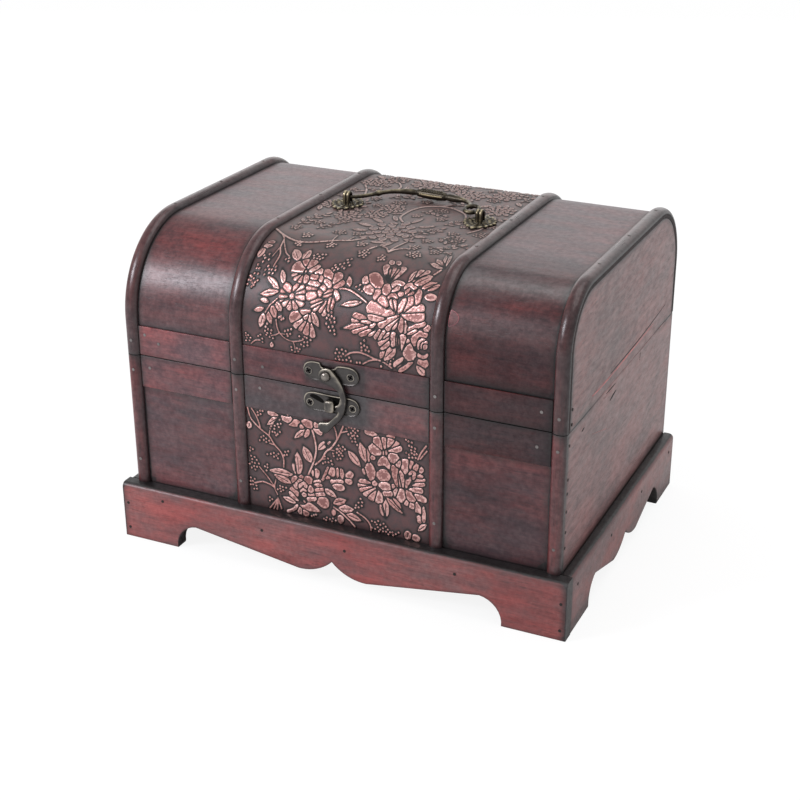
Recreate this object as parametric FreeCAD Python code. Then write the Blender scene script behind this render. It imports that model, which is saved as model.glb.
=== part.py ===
import FreeCAD, Part
import math
import os

# A wooden treasure chest on a cut plinth, with a round-shouldered lid, half-round bands,
# embossed panels, a swing hook latch and a bail handle.
# Millimetres. X runs along the front to the right, the front faces -Y, Z is up.
# The origin is on the floor, at the centre of the whole object's footprint.

# Plinth
plinth_width = 286.0
plinth_depth = 207.0
plinth_height = 36.4
plinth_front_thickness = 9.0
plinth_side_thickness = 6.6
plinth_back_thickness = 9.0
plinth_top_round = 3.0
foot_length_front = 37.5
foot_length_side = 35.0
foot_corner_run_front = 13.5
foot_corner_run_side = 11.0
arch_height = 16.5
arch_low_height = 6.0
arch_low_reach_front = 22.0
arch_low_reach_side = 22.0
cusp_height = 15.2

# Box
box_bottom_height = 18.0
box_top_height = 120.0
end_thickness = 8.0
front_thickness = 6.0
back_thickness = 6.0
bottom_thickness = 5.0

# Lid, with a hand-made difference between its left and right shoulders: each is as high as the
# lid is above its straight wall, and the wall is measured up from the strip or the back rail
seam_gap = 0.4
lid_height = 73.6
skin_thickness = 2.5
lid_end_thickness = 8.0
front_rail_thickness = 6.0
back_rail_thickness = 6.0
back_rail_height = 19.0
strip_to_shoulder_left = 3.6
strip_to_shoulder_right = 23.6
rail_to_shoulder_left = 20.6
rail_to_shoulder_right = 13.6

# Trim
band_width = 8.5
band_height = 3.2
band_seat = 1.0
inner_band_offset = 62.0
strip_thickness = 1.2
box_strip_height = 20.0
lid_strip_height = 18.0
panel_thickness = 1.0

# Latch
latch_offset = -1.2
plate_thickness = 1.2
plate_lobe_radius = 5.4
plate_lobe_spacing = 24.2
plate_waist_height = 8.0
plate_clear_of_seam = 10.4
keeper_clear_of_seam = 7.6
rivet_shift = -3.3
rivet_drop = 1.5
rivet_radius = 1.5
rivet_head_radius = 2.9
rivet_head_height = 2.0
rivet_fit = 0.05
hook_gap = 0.2
hook_thickness = 1.8
hook_width = 4.4
hook_bend_radius = 16.4
hook_start_angle = 68.0
hook_end_angle = -70.0
hook_head_radius = 4.9
hook_tip_radius = 3.2
stud_shift = -2.0
stud_drop = 2.2
stud_width = 6.4
stud_height = 7.2
stud_reach = 4.6
stud_round = 1.2

# Screws and nails
screw_radius = 1.0
screw_head_radius = 1.8
screw_length = 6.5
screw_fit = 0.05
screw_sink = 0.1
nail_head_radius = 0.9
nail_head_height = 0.6
nail_proud = 0.2
nail_radius = 0.5
nail_length = 5.0
nail_fit = 0.05
nail_inset = 9.0

# Handle
handle_spacing = 86.4
handle_offset = 2.0
handle_set_back = 100.0
post_width = 4.4
post_thickness = 4.2
post_axis_height = 3.3
post_groove_width = 1.2
post_groove_depth = 0.6
shank_radius = 1.6
shank_fit = 0.1
prong_length = 8.0
prong_thickness = 1.0
rosette_thickness = 1.2
rosette_width = 17.0
rosette_depth = 24.0
rosette_lobe_radius = 1.6
rosette_heart_radius = 6.0
bail_pin_radius = 1.0
bail_pin_fit = 0.08
bail_end_gap = 0.4
ring_radius = 3.2
ring_wire_radius = 0.9
bail_wire_radius = 1.2
bail_reach = 28.2
grip_length = 44.0
grip_radius = 2.7
grip_end_radius = 1.3
grip_ball_radius = 1.7
bail_lie_angle = 2.0

# Hinges
hinge_width = 24.0
leaf_height = 17.0
leaf_thickness = 1.0
knuckle_radius = 2.2
knuckle_stand_off = 0.3
knuckle_gap = 0.3
hinge_pin_radius = 1.0
hinge_pin_fit = 0.05
hinge_screw_spacing = 14.0
hinge_screw_from_edge = 5.0

V = FreeCAD.Vector
os.makedirs("parts", exist_ok=True)

# Places worked out from the sizes
hinge_reach = 2 * knuckle_radius + knuckle_stand_off
plinth_front_y = -(plinth_depth + hinge_reach - nail_proud) / 2
plinth_back_y = plinth_front_y + plinth_depth
front_y = plinth_front_y + plinth_front_thickness
back_y = plinth_back_y
half_width = plinth_width / 2 - plinth_side_thickness
inner_half = half_width - end_thickness
lid_bottom = box_top_height + seam_gap
lid_top_height = lid_bottom + lid_height
front_shoulder_left = lid_height - lid_strip_height - strip_to_shoulder_left
front_shoulder_right = lid_height - lid_strip_height - strip_to_shoulder_right
back_shoulder_left = lid_height - back_rail_height - rail_to_shoulder_left
back_shoulder_right = lid_height - back_rail_height - rail_to_shoulder_right
seam_height = box_top_height + seam_gap / 2
outer_band_x = half_width - band_width / 2
band_places = {
    "left_outer": -outer_band_x,
    "left_inner": -inner_band_offset,
    "right_inner": inner_band_offset,
    "right_outer": outer_band_x,
}
bay_half = inner_band_offset - band_width / 2
bays = {
    "left": (-outer_band_x + band_width / 2, -inner_band_offset - band_width / 2),
    "middle": (-bay_half, bay_half),
    "right": (inner_band_offset + band_width / 2, outer_band_x - band_width / 2),
}
box_strip_bottom = box_top_height - box_strip_height
lid_strip_top = lid_bottom + lid_strip_height
strip_face = front_y - strip_thickness
band_crest = front_y - band_height


def box(x0, x1, y0, y1, z0, z1):
    return Part.makeBox(x1 - x0, y1 - y0, z1 - z0, V(x0, y0, z0))


def line(a, b):
    return Part.LineSegment(a, b).toShape()


def arc(a, middle, b):
    return Part.Arc(a, middle, b).toShape()


def cut_all(shape, tools):
    return shape.cut(Part.makeCompound(tools)) if tools else shape


def join(shapes):
    return shapes[0].fuse(shapes[1:]).removeSplitter()


def save(name, shape):
    shape.exportStep("parts/" + name + ".step")


# Fasteners: each is one solid, and its hole is the same form grown by the fit

def headed_pin(place, inward, head_radius, head_height, shank_radius, length, proud, fit):
    head = Part.makeCylinder(head_radius + fit, head_height, place - inward * proud, inward)
    shank = Part.makeCylinder(shank_radius + fit, length - proud + fit, place, inward)
    return head.fuse(shank).removeSplitter()


def nail(place, inward, fit=0.0):
    return headed_pin(place, inward, nail_head_radius, nail_head_height, nail_radius,
                      nail_length, nail_proud, fit)


def screw(place, inward, fit=0.0):
    head_height = screw_head_radius - screw_radius
    start = place + inward * screw_sink
    head = Part.makeCone(screw_head_radius + fit, screw_radius + fit, head_height, start, inward)
    shank = Part.makeCylinder(screw_radius + fit, screw_length - screw_sink + fit, start, inward)
    solid = head.fuse(shank)
    if fit:
        mouth = Part.makeCylinder(screw_head_radius + fit, screw_sink, place, inward)
        solid = solid.fuse(mouth)
    return solid.removeSplitter()


# Plinth boards: feet, rounded corners, a gentle slope to two low points and a middle cusp

def arch_edges(half_length, foot, corner_run, low_reach):
    """The lower edge of a board from the right foot to the left, as points (along, up)."""
    half = half_length - foot
    bend = math.sqrt(0.5)
    steps = []
    for side in (1, -1):
        start = (side * half, 0)
        corner = (side * (half - corner_run * (1 - bend)), arch_height * bend)
        top = (side * (half - corner_run), arch_height)
        low = (side * low_reach, arch_low_height)
        swell_height = arch_low_height + 0.3 * (cusp_height - arch_low_height)
        swell = (side * 0.4 * low_reach, swell_height)
        steps.append((start, corner, top, low, swell, (0, cusp_height)))
    return steps


def board(half_length, foot, corner_run, low_reach, to_point, thickness):
    right, left = arch_edges(half_length, foot, corner_run, low_reach)
    right = [to_point(*p) for p in right]
    left = [to_point(*p) for p in left]
    corners = [to_point(s * half_length, h) for s, h in
               ((-1, 0), (-1, plinth_height), (1, plinth_height), (1, 0))]
    edges = [
        arc(right[0], right[1], right[2]),
        line(right[2], right[3]),
        arc(right[3], right[4], right[5]),
        arc(left[5], left[4], left[3]),
        line(left[3], left[2]),
        arc(left[2], left[1], left[0]),
        line(left[0], corners[0]),
        line(corners[0], corners[1]),
        line(corners[1], corners[2]),
        line(corners[2], corners[3]),
        line(corners[3], right[0]),
    ]
    return Part.Face(Part.Wire(edges)).extrude(thickness)


def round_top(solid, on_outside):
    top = [e for e in solid.Edges
           if abs(e.BoundBox.ZMin - plinth_height) < 1e-6 and on_outside(e.CenterOfMass)]
    return solid.makeFillet(plinth_top_round, top)


def plinth_front():
    solid = board(plinth_width / 2, foot_length_front, foot_corner_run_front, arch_low_reach_front,
                  lambda s, h: V(s, front_y, h), V(0, -plinth_front_thickness, 0))
    return round_top(solid, lambda c: c.y < front_y - 1e-6)


def plinth_side(side):
    depth = plinth_depth - plinth_front_thickness
    middle = (front_y + back_y) / 2
    foot_shorter = foot_length_side - plinth_front_thickness / 2
    solid = board(depth / 2, foot_shorter, foot_corner_run_side, arch_low_reach_side,
                  lambda s, h: V(side * half_width, middle + s, h),
                  V(side * plinth_side_thickness, 0, 0))
    outside = half_width + plinth_side_thickness
    return round_top(solid, lambda c: abs(abs(c.x) - outside) < 1e-6)


def plinth_back():
    solid = board(half_width, foot_length_front - plinth_side_thickness, foot_corner_run_front,
                  arch_low_reach_front, lambda s, h: V(s, back_y, h),
                  V(0, -plinth_back_thickness, 0))
    keep = box(-half_width, half_width, back_y - plinth_back_thickness, back_y,
               0, box_bottom_height)
    return solid.common(keep)


# Lid outline: a front wall, a shoulder, the flat top, a shoulder and a back wall

def shoulder(x, left, right):
    return left + (right - left) * (x + half_width) / (2 * half_width)


def lid_points(x, outward, front_z):
    front = front_y - outward
    back = back_y + outward
    top = lid_top_height + outward
    rf = shoulder(x, front_shoulder_left, front_shoulder_right) + outward
    rb = shoulder(x, back_shoulder_left, back_shoulder_right) + outward
    bend = math.sqrt(0.5)
    places = [
        (front, front_z),
        (front, top - rf),
        (front + rf * (1 - bend), top - rf * (1 - bend)),
        (front + rf, top),
        (back - rb, top),
        (back - rb * (1 - bend), top - rb * (1 - bend)),
        (back, top - rb),
        (back, lid_bottom),
    ]
    return [V(x, y, z) for y, z in places]


def lid_edges(p):
    return [line(p[0], p[1]), arc(p[1], p[2], p[3]), line(p[3], p[4]),
            arc(p[4], p[5], p[6]), line(p[6], p[7])]


def lid_solid(outlines):
    """A solid between two closed outlines: flat where both edges are straight, else ruled."""
    faces = [Part.Face(Part.Wire(edges)) for edges in outlines]
    for a, b in zip(*outlines):
        if isinstance(a.Curve, Part.Line):
            corners = [a.Vertexes[0], a.Vertexes[1], b.Vertexes[1], b.Vertexes[0], a.Vertexes[0]]
            faces.append(Part.Face(Part.makePolygon([c.Point for c in corners])))
        else:
            faces.append(Part.makeRuledSurface(a, b))
    shell = Part.makeShell(faces)
    shell.sewShape()
    solid = Part.Solid(shell)
    if solid.Volume < 0:
        solid.reverse()
    return solid


def lid_shell(x0, x1, outer, inner, front_z):
    outlines = []
    for x in (x0, x1):
        out = lid_points(x, outer, front_z)
        back = lid_points(x, inner, front_z)[::-1]
        outlines.append(lid_edges(out) + [line(out[-1], back[0])]
                        + lid_edges(back) + [line(back[-1], out[0])])
    return lid_solid(outlines)


def lid_block(x0, x1, outward):
    outlines = []
    for x in (x0, x1):
        p = lid_points(x, outward, lid_bottom)
        outlines.append(lid_edges(p) + [line(p[-1], p[0])])
    return lid_solid(outlines)


def half_round(x, z):
    """A half-ellipse on the front plane, with a seat that reaches behind it."""
    left = V(x - band_width / 2, front_y, z)
    right = V(x + band_width / 2, front_y, z)
    seat = V(0, band_seat, 0)
    ellipse = Part.Ellipse(V(x, front_y, z), band_width / 2, band_height)
    dome = Part.Arc(ellipse, math.pi, 2 * math.pi).toShape()
    return Part.Wire([dome, line(right, right + seat), line(right + seat, left + seat),
                      line(left + seat, left)])


def lid_band(x):
    path = Part.Wire(lid_edges(lid_points(x, 0, lid_bottom)))
    sweep = path.makePipeShell([half_round(x, lid_bottom)], True, False)
    return sweep.cut(lid_block(x - band_width, x + band_width, 0))


def box_band(x):
    bar = Part.Face(half_round(x, plinth_height)).extrude(V(0, 0, box_top_height - plinth_height))
    behind = box(x - band_width, x + band_width, front_y, front_y + 2 * band_seat,
                 plinth_height, box_top_height)
    return bar.cut(behind)


# Latch: plates on the strips, a hook on a rivet, a stud that the hook goes round

plate_z = lid_bottom + plate_clear_of_seam
keeper_z = box_top_height - keeper_clear_of_seam
plate_face = strip_face - plate_thickness
rivet_x = latch_offset + rivet_shift
rivet_z = plate_z - rivet_drop
hook_back = plate_face - hook_gap
hook_front = hook_back - hook_thickness
TO_BACK = V(0, 1, 0)
TO_FRONT = V(0, -1, 0)


def disc(x, z, radius, y_back, thickness):
    return Part.makeCylinder(radius, thickness, V(x, y_back, z), TO_FRONT)


def latch_screw_places(z):
    return [V(latch_offset + s * plate_lobe_spacing / 2, plate_face, z) for s in (-1, 1)]


def lobed_plate(z):
    half = plate_lobe_spacing / 2
    lobes = [disc(latch_offset + s * half, z, plate_lobe_radius, strip_face, plate_thickness)
             for s in (-1, 1)]
    waist = box(latch_offset - half, latch_offset + half, plate_face, strip_face,
                z - plate_waist_height / 2, z + plate_waist_height / 2)
    return join([waist] + lobes)


def latch_plate():
    boss = disc(rivet_x, rivet_z, hook_head_radius, strip_face, plate_thickness)
    plate = join([lobed_plate(plate_z), boss])
    hole = disc(rivet_x, rivet_z, rivet_radius + rivet_fit, strip_face, plate_thickness)
    holes = [screw(p, TO_BACK, screw_fit) for p in latch_screw_places(plate_z)]
    return cut_all(plate, holes + [hole])


def keeper_plate():
    x = latch_offset + stud_shift
    z = keeper_z - stud_drop
    stud = box(x - stud_width / 2, x + stud_width / 2, plate_face - stud_reach, plate_face,
               z - stud_height / 2, z + stud_height / 2)
    free_edges = [e for e in stud.Edges if e.CenterOfMass.y < plate_face - 1e-6]
    stud = stud.makeFillet(stud_round, free_edges)
    plate = join([lobed_plate(keeper_z), stud])
    return cut_all(plate, [screw(p, TO_BACK, screw_fit) for p in latch_screw_places(keeper_z)])


def rivet():
    neck_end = hook_front - hook_gap
    neck = Part.makeCylinder(rivet_radius, strip_face - neck_end,
                             V(rivet_x, strip_face, rivet_z), TO_FRONT)
    ball_radius = (rivet_head_radius ** 2 + rivet_head_height ** 2) / (2 * rivet_head_height)
    ball = Part.makeSphere(ball_radius,
                           V(rivet_x, neck_end - rivet_head_height + ball_radius, rivet_z))
    head = ball.common(disc(rivet_x, rivet_z, ball_radius, neck_end, rivet_head_height))
    return join([neck, head])


def hook():
    start = math.radians(hook_start_angle)
    centre_x = rivet_x - hook_bend_radius * math.cos(start)
    centre_z = rivet_z - hook_bend_radius * math.sin(start)

    def polar(radius, degrees):
        a = math.radians(degrees)
        return V(centre_x + radius * math.cos(a), hook_back, centre_z + radius * math.sin(a))

    outer = hook_bend_radius + hook_width / 2
    inner = hook_bend_radius - hook_width / 2
    middle = (hook_start_angle + hook_end_angle) / 2
    edges = [
        arc(polar(outer, hook_start_angle), polar(outer, middle), polar(outer, hook_end_angle)),
        line(polar(outer, hook_end_angle), polar(inner, hook_end_angle)),
        arc(polar(inner, hook_end_angle), polar(inner, middle), polar(inner, hook_start_angle)),
        line(polar(inner, hook_start_angle), polar(outer, hook_start_angle)),
    ]
    arm = Part.Face(Part.Wire(edges)).extrude(V(0, -hook_thickness, 0))
    head = disc(rivet_x, rivet_z, hook_head_radius, hook_back, hook_thickness)
    tip_at = polar(hook_bend_radius, hook_end_angle)
    tip = disc(tip_at.x, tip_at.z, hook_tip_radius, hook_back, hook_thickness)
    hole = disc(rivet_x, rivet_z, rivet_radius + rivet_fit, hook_back, hook_thickness)
    return join([arm, head, tip]).cut(hole)


# Handle: rosettes, split posts through the lid, and a bail that turns in the posts

handle_y = front_y + handle_set_back
panel_face = lid_top_height + panel_thickness
rosette_face = panel_face + rosette_thickness
axis_z = rosette_face + post_axis_height
post_inner = handle_spacing / 2 - post_width / 2
UP = V(0, 0, 1)


def handle_x(side):
    return handle_offset + side * handle_spacing / 2


def shank_hole(side):
    start = lid_top_height - skin_thickness
    return Part.makeCylinder(shank_radius + shank_fit, rosette_face - start,
                             V(handle_x(side), handle_y, start), UP)


def rosette(side):
    x = handle_x(side)
    tips = [V(x + rosette_width / 2, handle_y, panel_face),
            V(x, handle_y + rosette_depth / 2, panel_face),
            V(x - rosette_width / 2, handle_y, panel_face),
            V(x, handle_y - rosette_depth / 2, panel_face)]
    lozenge = Part.Face(Part.makePolygon(tips + tips[:1])).extrude(UP * rosette_thickness)
    lobes = [Part.makeCylinder(rosette_lobe_radius, rosette_thickness, p, UP) for p in tips]
    heart = Part.makeCylinder(rosette_heart_radius, rosette_thickness,
                              V(x, handle_y, panel_face), UP)
    return join([lozenge, heart] + lobes).cut(shank_hole(side))


def post(side):
    x = handle_x(side)
    half = post_width / 2
    y0 = handle_y - post_thickness / 2
    outline = [
        line(V(x - half, y0, rosette_face), V(x + half, y0, rosette_face)),
        line(V(x + half, y0, rosette_face), V(x + half, y0, axis_z)),
        arc(V(x + half, y0, axis_z), V(x, y0, axis_z + half), V(x - half, y0, axis_z)),
        line(V(x - half, y0, axis_z), V(x - half, y0, rosette_face)),
    ]
    head = Part.Face(Part.Wire(outline)).extrude(V(0, post_thickness, 0))
    grooves = [box(x - post_groove_width / 2, x + post_groove_width / 2, y, y + post_groove_depth,
                   rosette_face, axis_z + post_width)
               for y in (y0, y0 + post_thickness - post_groove_depth)]
    bore = Part.makeCylinder(bail_pin_radius + bail_pin_fit, post_width,
                             V(x - half, handle_y, axis_z), V(1, 0, 0))
    under = lid_top_height - skin_thickness
    shank = Part.makeCylinder(shank_radius, rosette_face - under + prong_thickness,
                              V(x, handle_y, under - prong_thickness), UP)
    prongs = box(x - shank_radius, x + shank_radius, handle_y - prong_length,
                 handle_y + prong_length, under - prong_thickness, under)
    return join([cut_all(head, grooves + [bore]), shank, prongs])


def bail_side(side):
    """One end of the bail: a pin in the post, a ring beside it and the arm to the grip."""
    pin_start = side * (post_inner + post_width)
    ring_x = post_inner - bail_end_gap - ring_radius - ring_wire_radius
    ring_y = handle_y + ring_radius + ring_wire_radius / 2
    pin = Part.makeCylinder(bail_pin_radius, post_inner + post_width - ring_x,
                            V(pin_start, handle_y, axis_z), V(-side, 0, 0))
    ring = Part.makeTorus(ring_radius, ring_wire_radius, V(side * ring_x, ring_y, axis_z), UP)
    grip_y = handle_y + bail_reach
    start = V(side * ring_x, ring_y + ring_radius, axis_z)
    end = V(side * grip_length / 2, grip_y, axis_z)
    sag = V(side * ring_x, (start.y + grip_y) / 2, axis_z)
    middle = start * 0.25 + sag * 0.5 + end * 0.25
    path = Part.Wire([arc(start, middle, end)])
    tangent = path.Edges[0].tangentAt(path.Edges[0].FirstParameter)
    section = Part.Wire([Part.Circle(start, tangent, bail_wire_radius).toShape()])
    arm = path.makePipeShell([section], True, False)
    return [pin, ring, arm]


def grip():
    """A spindle along X, turned to a ball at each end where an arm meets it."""
    y = handle_y + bail_reach
    half = grip_length / 2
    neck = half - math.sqrt(grip_ball_radius ** 2 - grip_end_radius ** 2)

    def at(x, radius):
        return V(x, y + radius, axis_z)

    outline = [
        arc(at(-half - grip_ball_radius, 0), at(-half, grip_ball_radius), at(-neck, grip_end_radius)),
        arc(at(-neck, grip_end_radius), at(0, grip_radius), at(neck, grip_end_radius)),
        arc(at(neck, grip_end_radius), at(half, grip_ball_radius), at(half + grip_ball_radius, 0)),
        line(at(half + grip_ball_radius, 0), at(-half - grip_ball_radius, 0)),
    ]
    return Part.Face(Part.Wire(outline)).revolve(at(0, 0), V(1, 0, 0), 360)


def bail():
    solid = join([grip()] + bail_side(-1) + bail_side(1))
    solid.rotate(V(0, handle_y, axis_z), V(1, 0, 0), -bail_lie_angle)
    solid.translate(V(handle_offset, 0, 0))
    return solid


# Hinges: three knuckles each, two on the box leaf and one on the lid leaf

hinge_y = back_y + knuckle_stand_off + knuckle_radius
knuckle_length = (hinge_width - 2 * knuckle_gap) / 3
leaf_clear = knuckle_radius + knuckle_gap


def knuckle(x, length):
    return Part.makeCylinder(knuckle_radius, length, V(x, hinge_y, seam_height), V(1, 0, 0))


def leaf(hinge_x, side, own, pin_clearance):
    """A leaf above (side 1) or below (side -1) the seam, with knuckles that start at own."""
    x0 = hinge_x - hinge_width / 2
    near = seam_height + side * leaf_clear
    far = seam_height + side * leaf_height
    plate = box(x0, x0 + hinge_width, back_y, back_y + leaf_thickness, min(near, far), max(near, far))
    pieces = [plate]
    for start in own:
        pieces.append(knuckle(start, knuckle_length))
        tab_top = min(near, seam_height), max(near, seam_height)
        pieces.append(box(start, start + knuckle_length, back_y, back_y + leaf_thickness, *tab_top))
    bore = Part.makeCylinder(hinge_pin_radius + pin_clearance, hinge_width,
                             V(x0, hinge_y, seam_height), V(1, 0, 0))
    return join(pieces).cut(bore)


def hinge_screw_places(hinge_x, side):
    z = seam_height + side * (leaf_height - hinge_screw_from_edge)
    return [V(hinge_x + s * hinge_screw_spacing / 2, back_y + leaf_thickness, z) for s in (-1, 1)]


def hinge_parts(hinge_x):
    x0 = hinge_x - hinge_width / 2
    step = knuckle_length + knuckle_gap
    box_leaf = leaf(hinge_x, -1, [x0, x0 + 2 * step], hinge_pin_fit)
    lid_leaf = leaf(hinge_x, 1, [x0 + step], hinge_pin_fit)
    pin = Part.makeCylinder(hinge_pin_radius, hinge_width, V(x0, hinge_y, seam_height), V(1, 0, 0))
    return box_leaf, lid_leaf, pin


# Places of the nails, most of them as shares of the length and the height that they are set along

def spread(first, last, count):
    return [first + (last - first) * k / (count - 1) for k in range(count)]


def share(first, last, part):
    return first + (last - first) * part


def strip_nail_places(shares, bottom, top):
    return [V(share(*bays[name], along), strip_face, share(bottom, top, up))
            for name, places in shares.items() for along, up in places]


lid_strip_shares = {
    "left": ((0.07, 0.72), (0.22, 0.49)),
    "middle": ((0.11, 0.37),),
    "right": ((0.9, 0.58),),
}
box_strip_shares = {
    "left": ((0.1, 0.64),),
    "middle": ((0.09, 0.68),),
    "right": ((0.87, 0.52),),
}
plinth_front_shares = ((0.1, 0.63), (0.34, 0.42), (0.53, 0.37), (0.77, 0.47))
plinth_corner_shares = (0.18, 0.64)
box_end_shares = (0.175, 0.29, 0.44, 0.57, 0.67, 0.91)
lid_end_shares = (0.18, 0.66)
band_nail_shares = (0.19, 0.89)

box_nail_places = strip_nail_places(box_strip_shares, box_strip_bottom, box_top_height)
lid_nail_places = strip_nail_places(lid_strip_shares, lid_bottom, lid_strip_top)
band_nails_box = [V(x, band_crest, share(plinth_height, box_top_height, up))
                  for x in band_places.values() for up in band_nail_shares]
band_nails_front = [V(x, band_crest, (lid_bottom + lid_strip_top) / 2) for x in band_places.values()]
top_front = front_y + max(front_shoulder_left, front_shoulder_right)
top_back = back_y - max(back_shoulder_left, back_shoulder_right)
band_nails_top = [V(x, y, lid_top_height + band_height) for x in band_places.values()
                  for y in spread(top_front, top_back, 3)]
plinth_nail_z = (box_bottom_height + plinth_height) / 2
plinth_corner_x = half_width + plinth_side_thickness / 2
plinth_front_nails = [V(share(-plinth_width / 2, plinth_width / 2, along), plinth_front_y,
                        share(box_bottom_height, plinth_height, up)) for along, up in plinth_front_shares]
plinth_front_nails += [V(side * plinth_corner_x, plinth_front_y, share(0, plinth_height, up))
                       for side in (-1, 1) for up in plinth_corner_shares]
side_nail_y = spread(front_y + nail_inset, back_y - nail_inset, 4)
box_end_y = front_y + front_thickness / 2
lid_end_y = front_y + skin_thickness + front_rail_thickness / 2

box_front_pins = [(p, TO_BACK) for p in box_nail_places + band_nails_box]
lid_front_pins = [(p, TO_BACK) for p in lid_nail_places + band_nails_front]
lid_top_pins = [(p, -UP) for p in band_nails_top]
plinth_pins = [(p, TO_BACK) for p in plinth_front_nails]
plinth_pins += [(V(s * plinth_width / 2, y, plinth_nail_z), V(-s, 0, 0))
                for s in (-1, 1) for y in side_nail_y]
end_pins = [(V(s * half_width, box_end_y, share(plinth_height, box_top_height, up)), V(-s, 0, 0))
            for s in (-1, 1) for up in box_end_shares]
lid_end_pins = [(V(s * half_width, lid_end_y, share(lid_bottom, lid_strip_top, up)), V(-s, 0, 0))
                for s in (-1, 1) for up in lid_end_shares]


def pins(list_of_places):
    return [nail(p, d) for p, d in list_of_places]


def pin_holes(list_of_places):
    return [nail(p, d, nail_fit) for p, d in list_of_places]


# Box
box_front_holes = pin_holes(box_front_pins)
plinth_holes = pin_holes(plinth_pins)
end_holes = pin_holes(end_pins)
keeper_holes = [screw(p, TO_BACK, screw_fit) for p in latch_screw_places(keeper_z)]
bay_middle = (inner_band_offset + outer_band_x) / 2
hinge_xs = {"left": -bay_middle, "right": bay_middle}
box_leaf_screws = [(p, TO_FRONT) for x in hinge_xs.values() for p in hinge_screw_places(x, -1)]
lid_leaf_screws = [(p, TO_FRONT) for x in hinge_xs.values() for p in hinge_screw_places(x, 1)]
box_leaf_holes = [screw(p, d, screw_fit) for p, d in box_leaf_screws]
lid_leaf_holes = [screw(p, d, screw_fit) for p, d in lid_leaf_screws]

front = box(-inner_half, inner_half, front_y, front_y + front_thickness,
            box_bottom_height, box_top_height)
save("box_front", cut_all(front, box_front_holes + plinth_holes + end_holes + keeper_holes))
back = box(-inner_half, inner_half, back_y - back_thickness, back_y,
           box_bottom_height, box_top_height)
save("box_back", cut_all(back, box_leaf_holes))
for side, name in ((-1, "left"), (1, "right")):
    x0, x1 = sorted((side * inner_half, side * half_width))
    end = box(x0, x1, front_y, back_y, box_bottom_height, box_top_height)
    save("box_" + name + "_end", cut_all(end, box_front_holes + plinth_holes + end_holes))
save("box_bottom", box(-inner_half, inner_half, front_y + front_thickness, back_y - back_thickness,
                       box_bottom_height, box_bottom_height + bottom_thickness))
for name, (x0, x1) in bays.items():
    strip = box(x0, x1, strip_face, front_y, box_strip_bottom, box_top_height)
    save("box_strip_" + name, cut_all(strip, box_front_holes + keeper_holes))
for name, x in band_places.items():
    save("box_band_" + name, cut_all(box_band(x), box_front_holes))
save("box_embossed_panel", box(-bay_half, bay_half, front_y - panel_thickness, front_y,
                               plinth_height, box_strip_bottom))
save("box_nails", Part.makeCompound(pins(box_front_pins)))
save("box_end_nails", Part.makeCompound(pins(end_pins)))

# Plinth
save("plinth_front", cut_all(plinth_front(), plinth_holes))
save("plinth_left", cut_all(plinth_side(-1), plinth_holes))
save("plinth_right", cut_all(plinth_side(1), plinth_holes))
save("plinth_back", plinth_back())
save("plinth_nails", Part.makeCompound(pins(plinth_pins)))

# Lid
lid_front_holes = pin_holes(lid_front_pins)
lid_top_holes = pin_holes(lid_top_pins)
lid_end_holes = pin_holes(lid_end_pins)
plate_holes = [screw(p, TO_BACK, screw_fit) for p in latch_screw_places(plate_z)]
shank_holes = [shank_hole(-1), shank_hole(1)]
skin = lid_shell(-half_width, half_width, 0, -skin_thickness, lid_bottom)
save("lid_skin", cut_all(skin, lid_front_holes + lid_top_holes + plate_holes
                         + shank_holes + lid_leaf_holes))
lid_inner = half_width - lid_end_thickness
for side, name in ((-1, "left"), (1, "right")):
    x0, x1 = sorted((side * lid_inner, side * half_width))
    end = lid_block(x0, x1, -skin_thickness)
    save("lid_" + name + "_end", cut_all(end, lid_front_holes + lid_top_holes + lid_end_holes))
front_rail = box(-lid_inner, lid_inner, front_y + skin_thickness,
                 front_y + skin_thickness + front_rail_thickness,
                 lid_bottom, lid_strip_top)
save("lid_front_rail", cut_all(front_rail, lid_front_holes + plate_holes))
back_rail = box(-lid_inner, lid_inner, back_y - skin_thickness - back_rail_thickness,
                back_y - skin_thickness, lid_bottom, lid_bottom + back_rail_height)
save("lid_back_rail", cut_all(back_rail, lid_leaf_holes))
for name, (x0, x1) in bays.items():
    strip = box(x0, x1, strip_face, front_y, lid_bottom, lid_strip_top)
    save("lid_strip_" + name, cut_all(strip, lid_front_holes + plate_holes))
for name, x in band_places.items():
    save("lid_band_" + name, cut_all(lid_band(x), lid_front_holes + lid_top_holes))
embossed = lid_shell(-bay_half, bay_half, panel_thickness, 0, lid_strip_top)
save("lid_embossed_panel", cut_all(embossed, shank_holes))
save("lid_nails", Part.makeCompound(pins(lid_front_pins + lid_top_pins)))
save("lid_end_nails", Part.makeCompound(pins(lid_end_pins)))

# Latch
save("latch_plate", latch_plate())
save("latch_plate_screws", Part.makeCompound([screw(p, TO_BACK) for p in latch_screw_places(plate_z)]))
save("latch_rivet", rivet())
save("latch_hook", hook())
save("latch_keeper", keeper_plate())
save("latch_keeper_screws", Part.makeCompound([screw(p, TO_BACK) for p in latch_screw_places(keeper_z)]))

# Handle
for side, name in ((-1, "left"), (1, "right")):
    save("handle_rosette_" + name, rosette(side))
    save("handle_post_" + name, post(side))
save("handle_bail", bail())

# Hinges
for name, x in hinge_xs.items():
    box_leaf, lid_leaf, pin = hinge_parts(x)
    save("hinge_" + name + "_box_leaf", cut_all(box_leaf, box_leaf_holes))
    save("hinge_" + name + "_lid_leaf", cut_all(lid_leaf, lid_leaf_holes))
    save("hinge_" + name + "_pin", pin)
save("hinge_screws_box", Part.makeCompound([screw(p, d) for p, d in box_leaf_screws]))
save("hinge_screws_lid", Part.makeCompound([screw(p, d) for p, d in lid_leaf_screws]))
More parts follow.
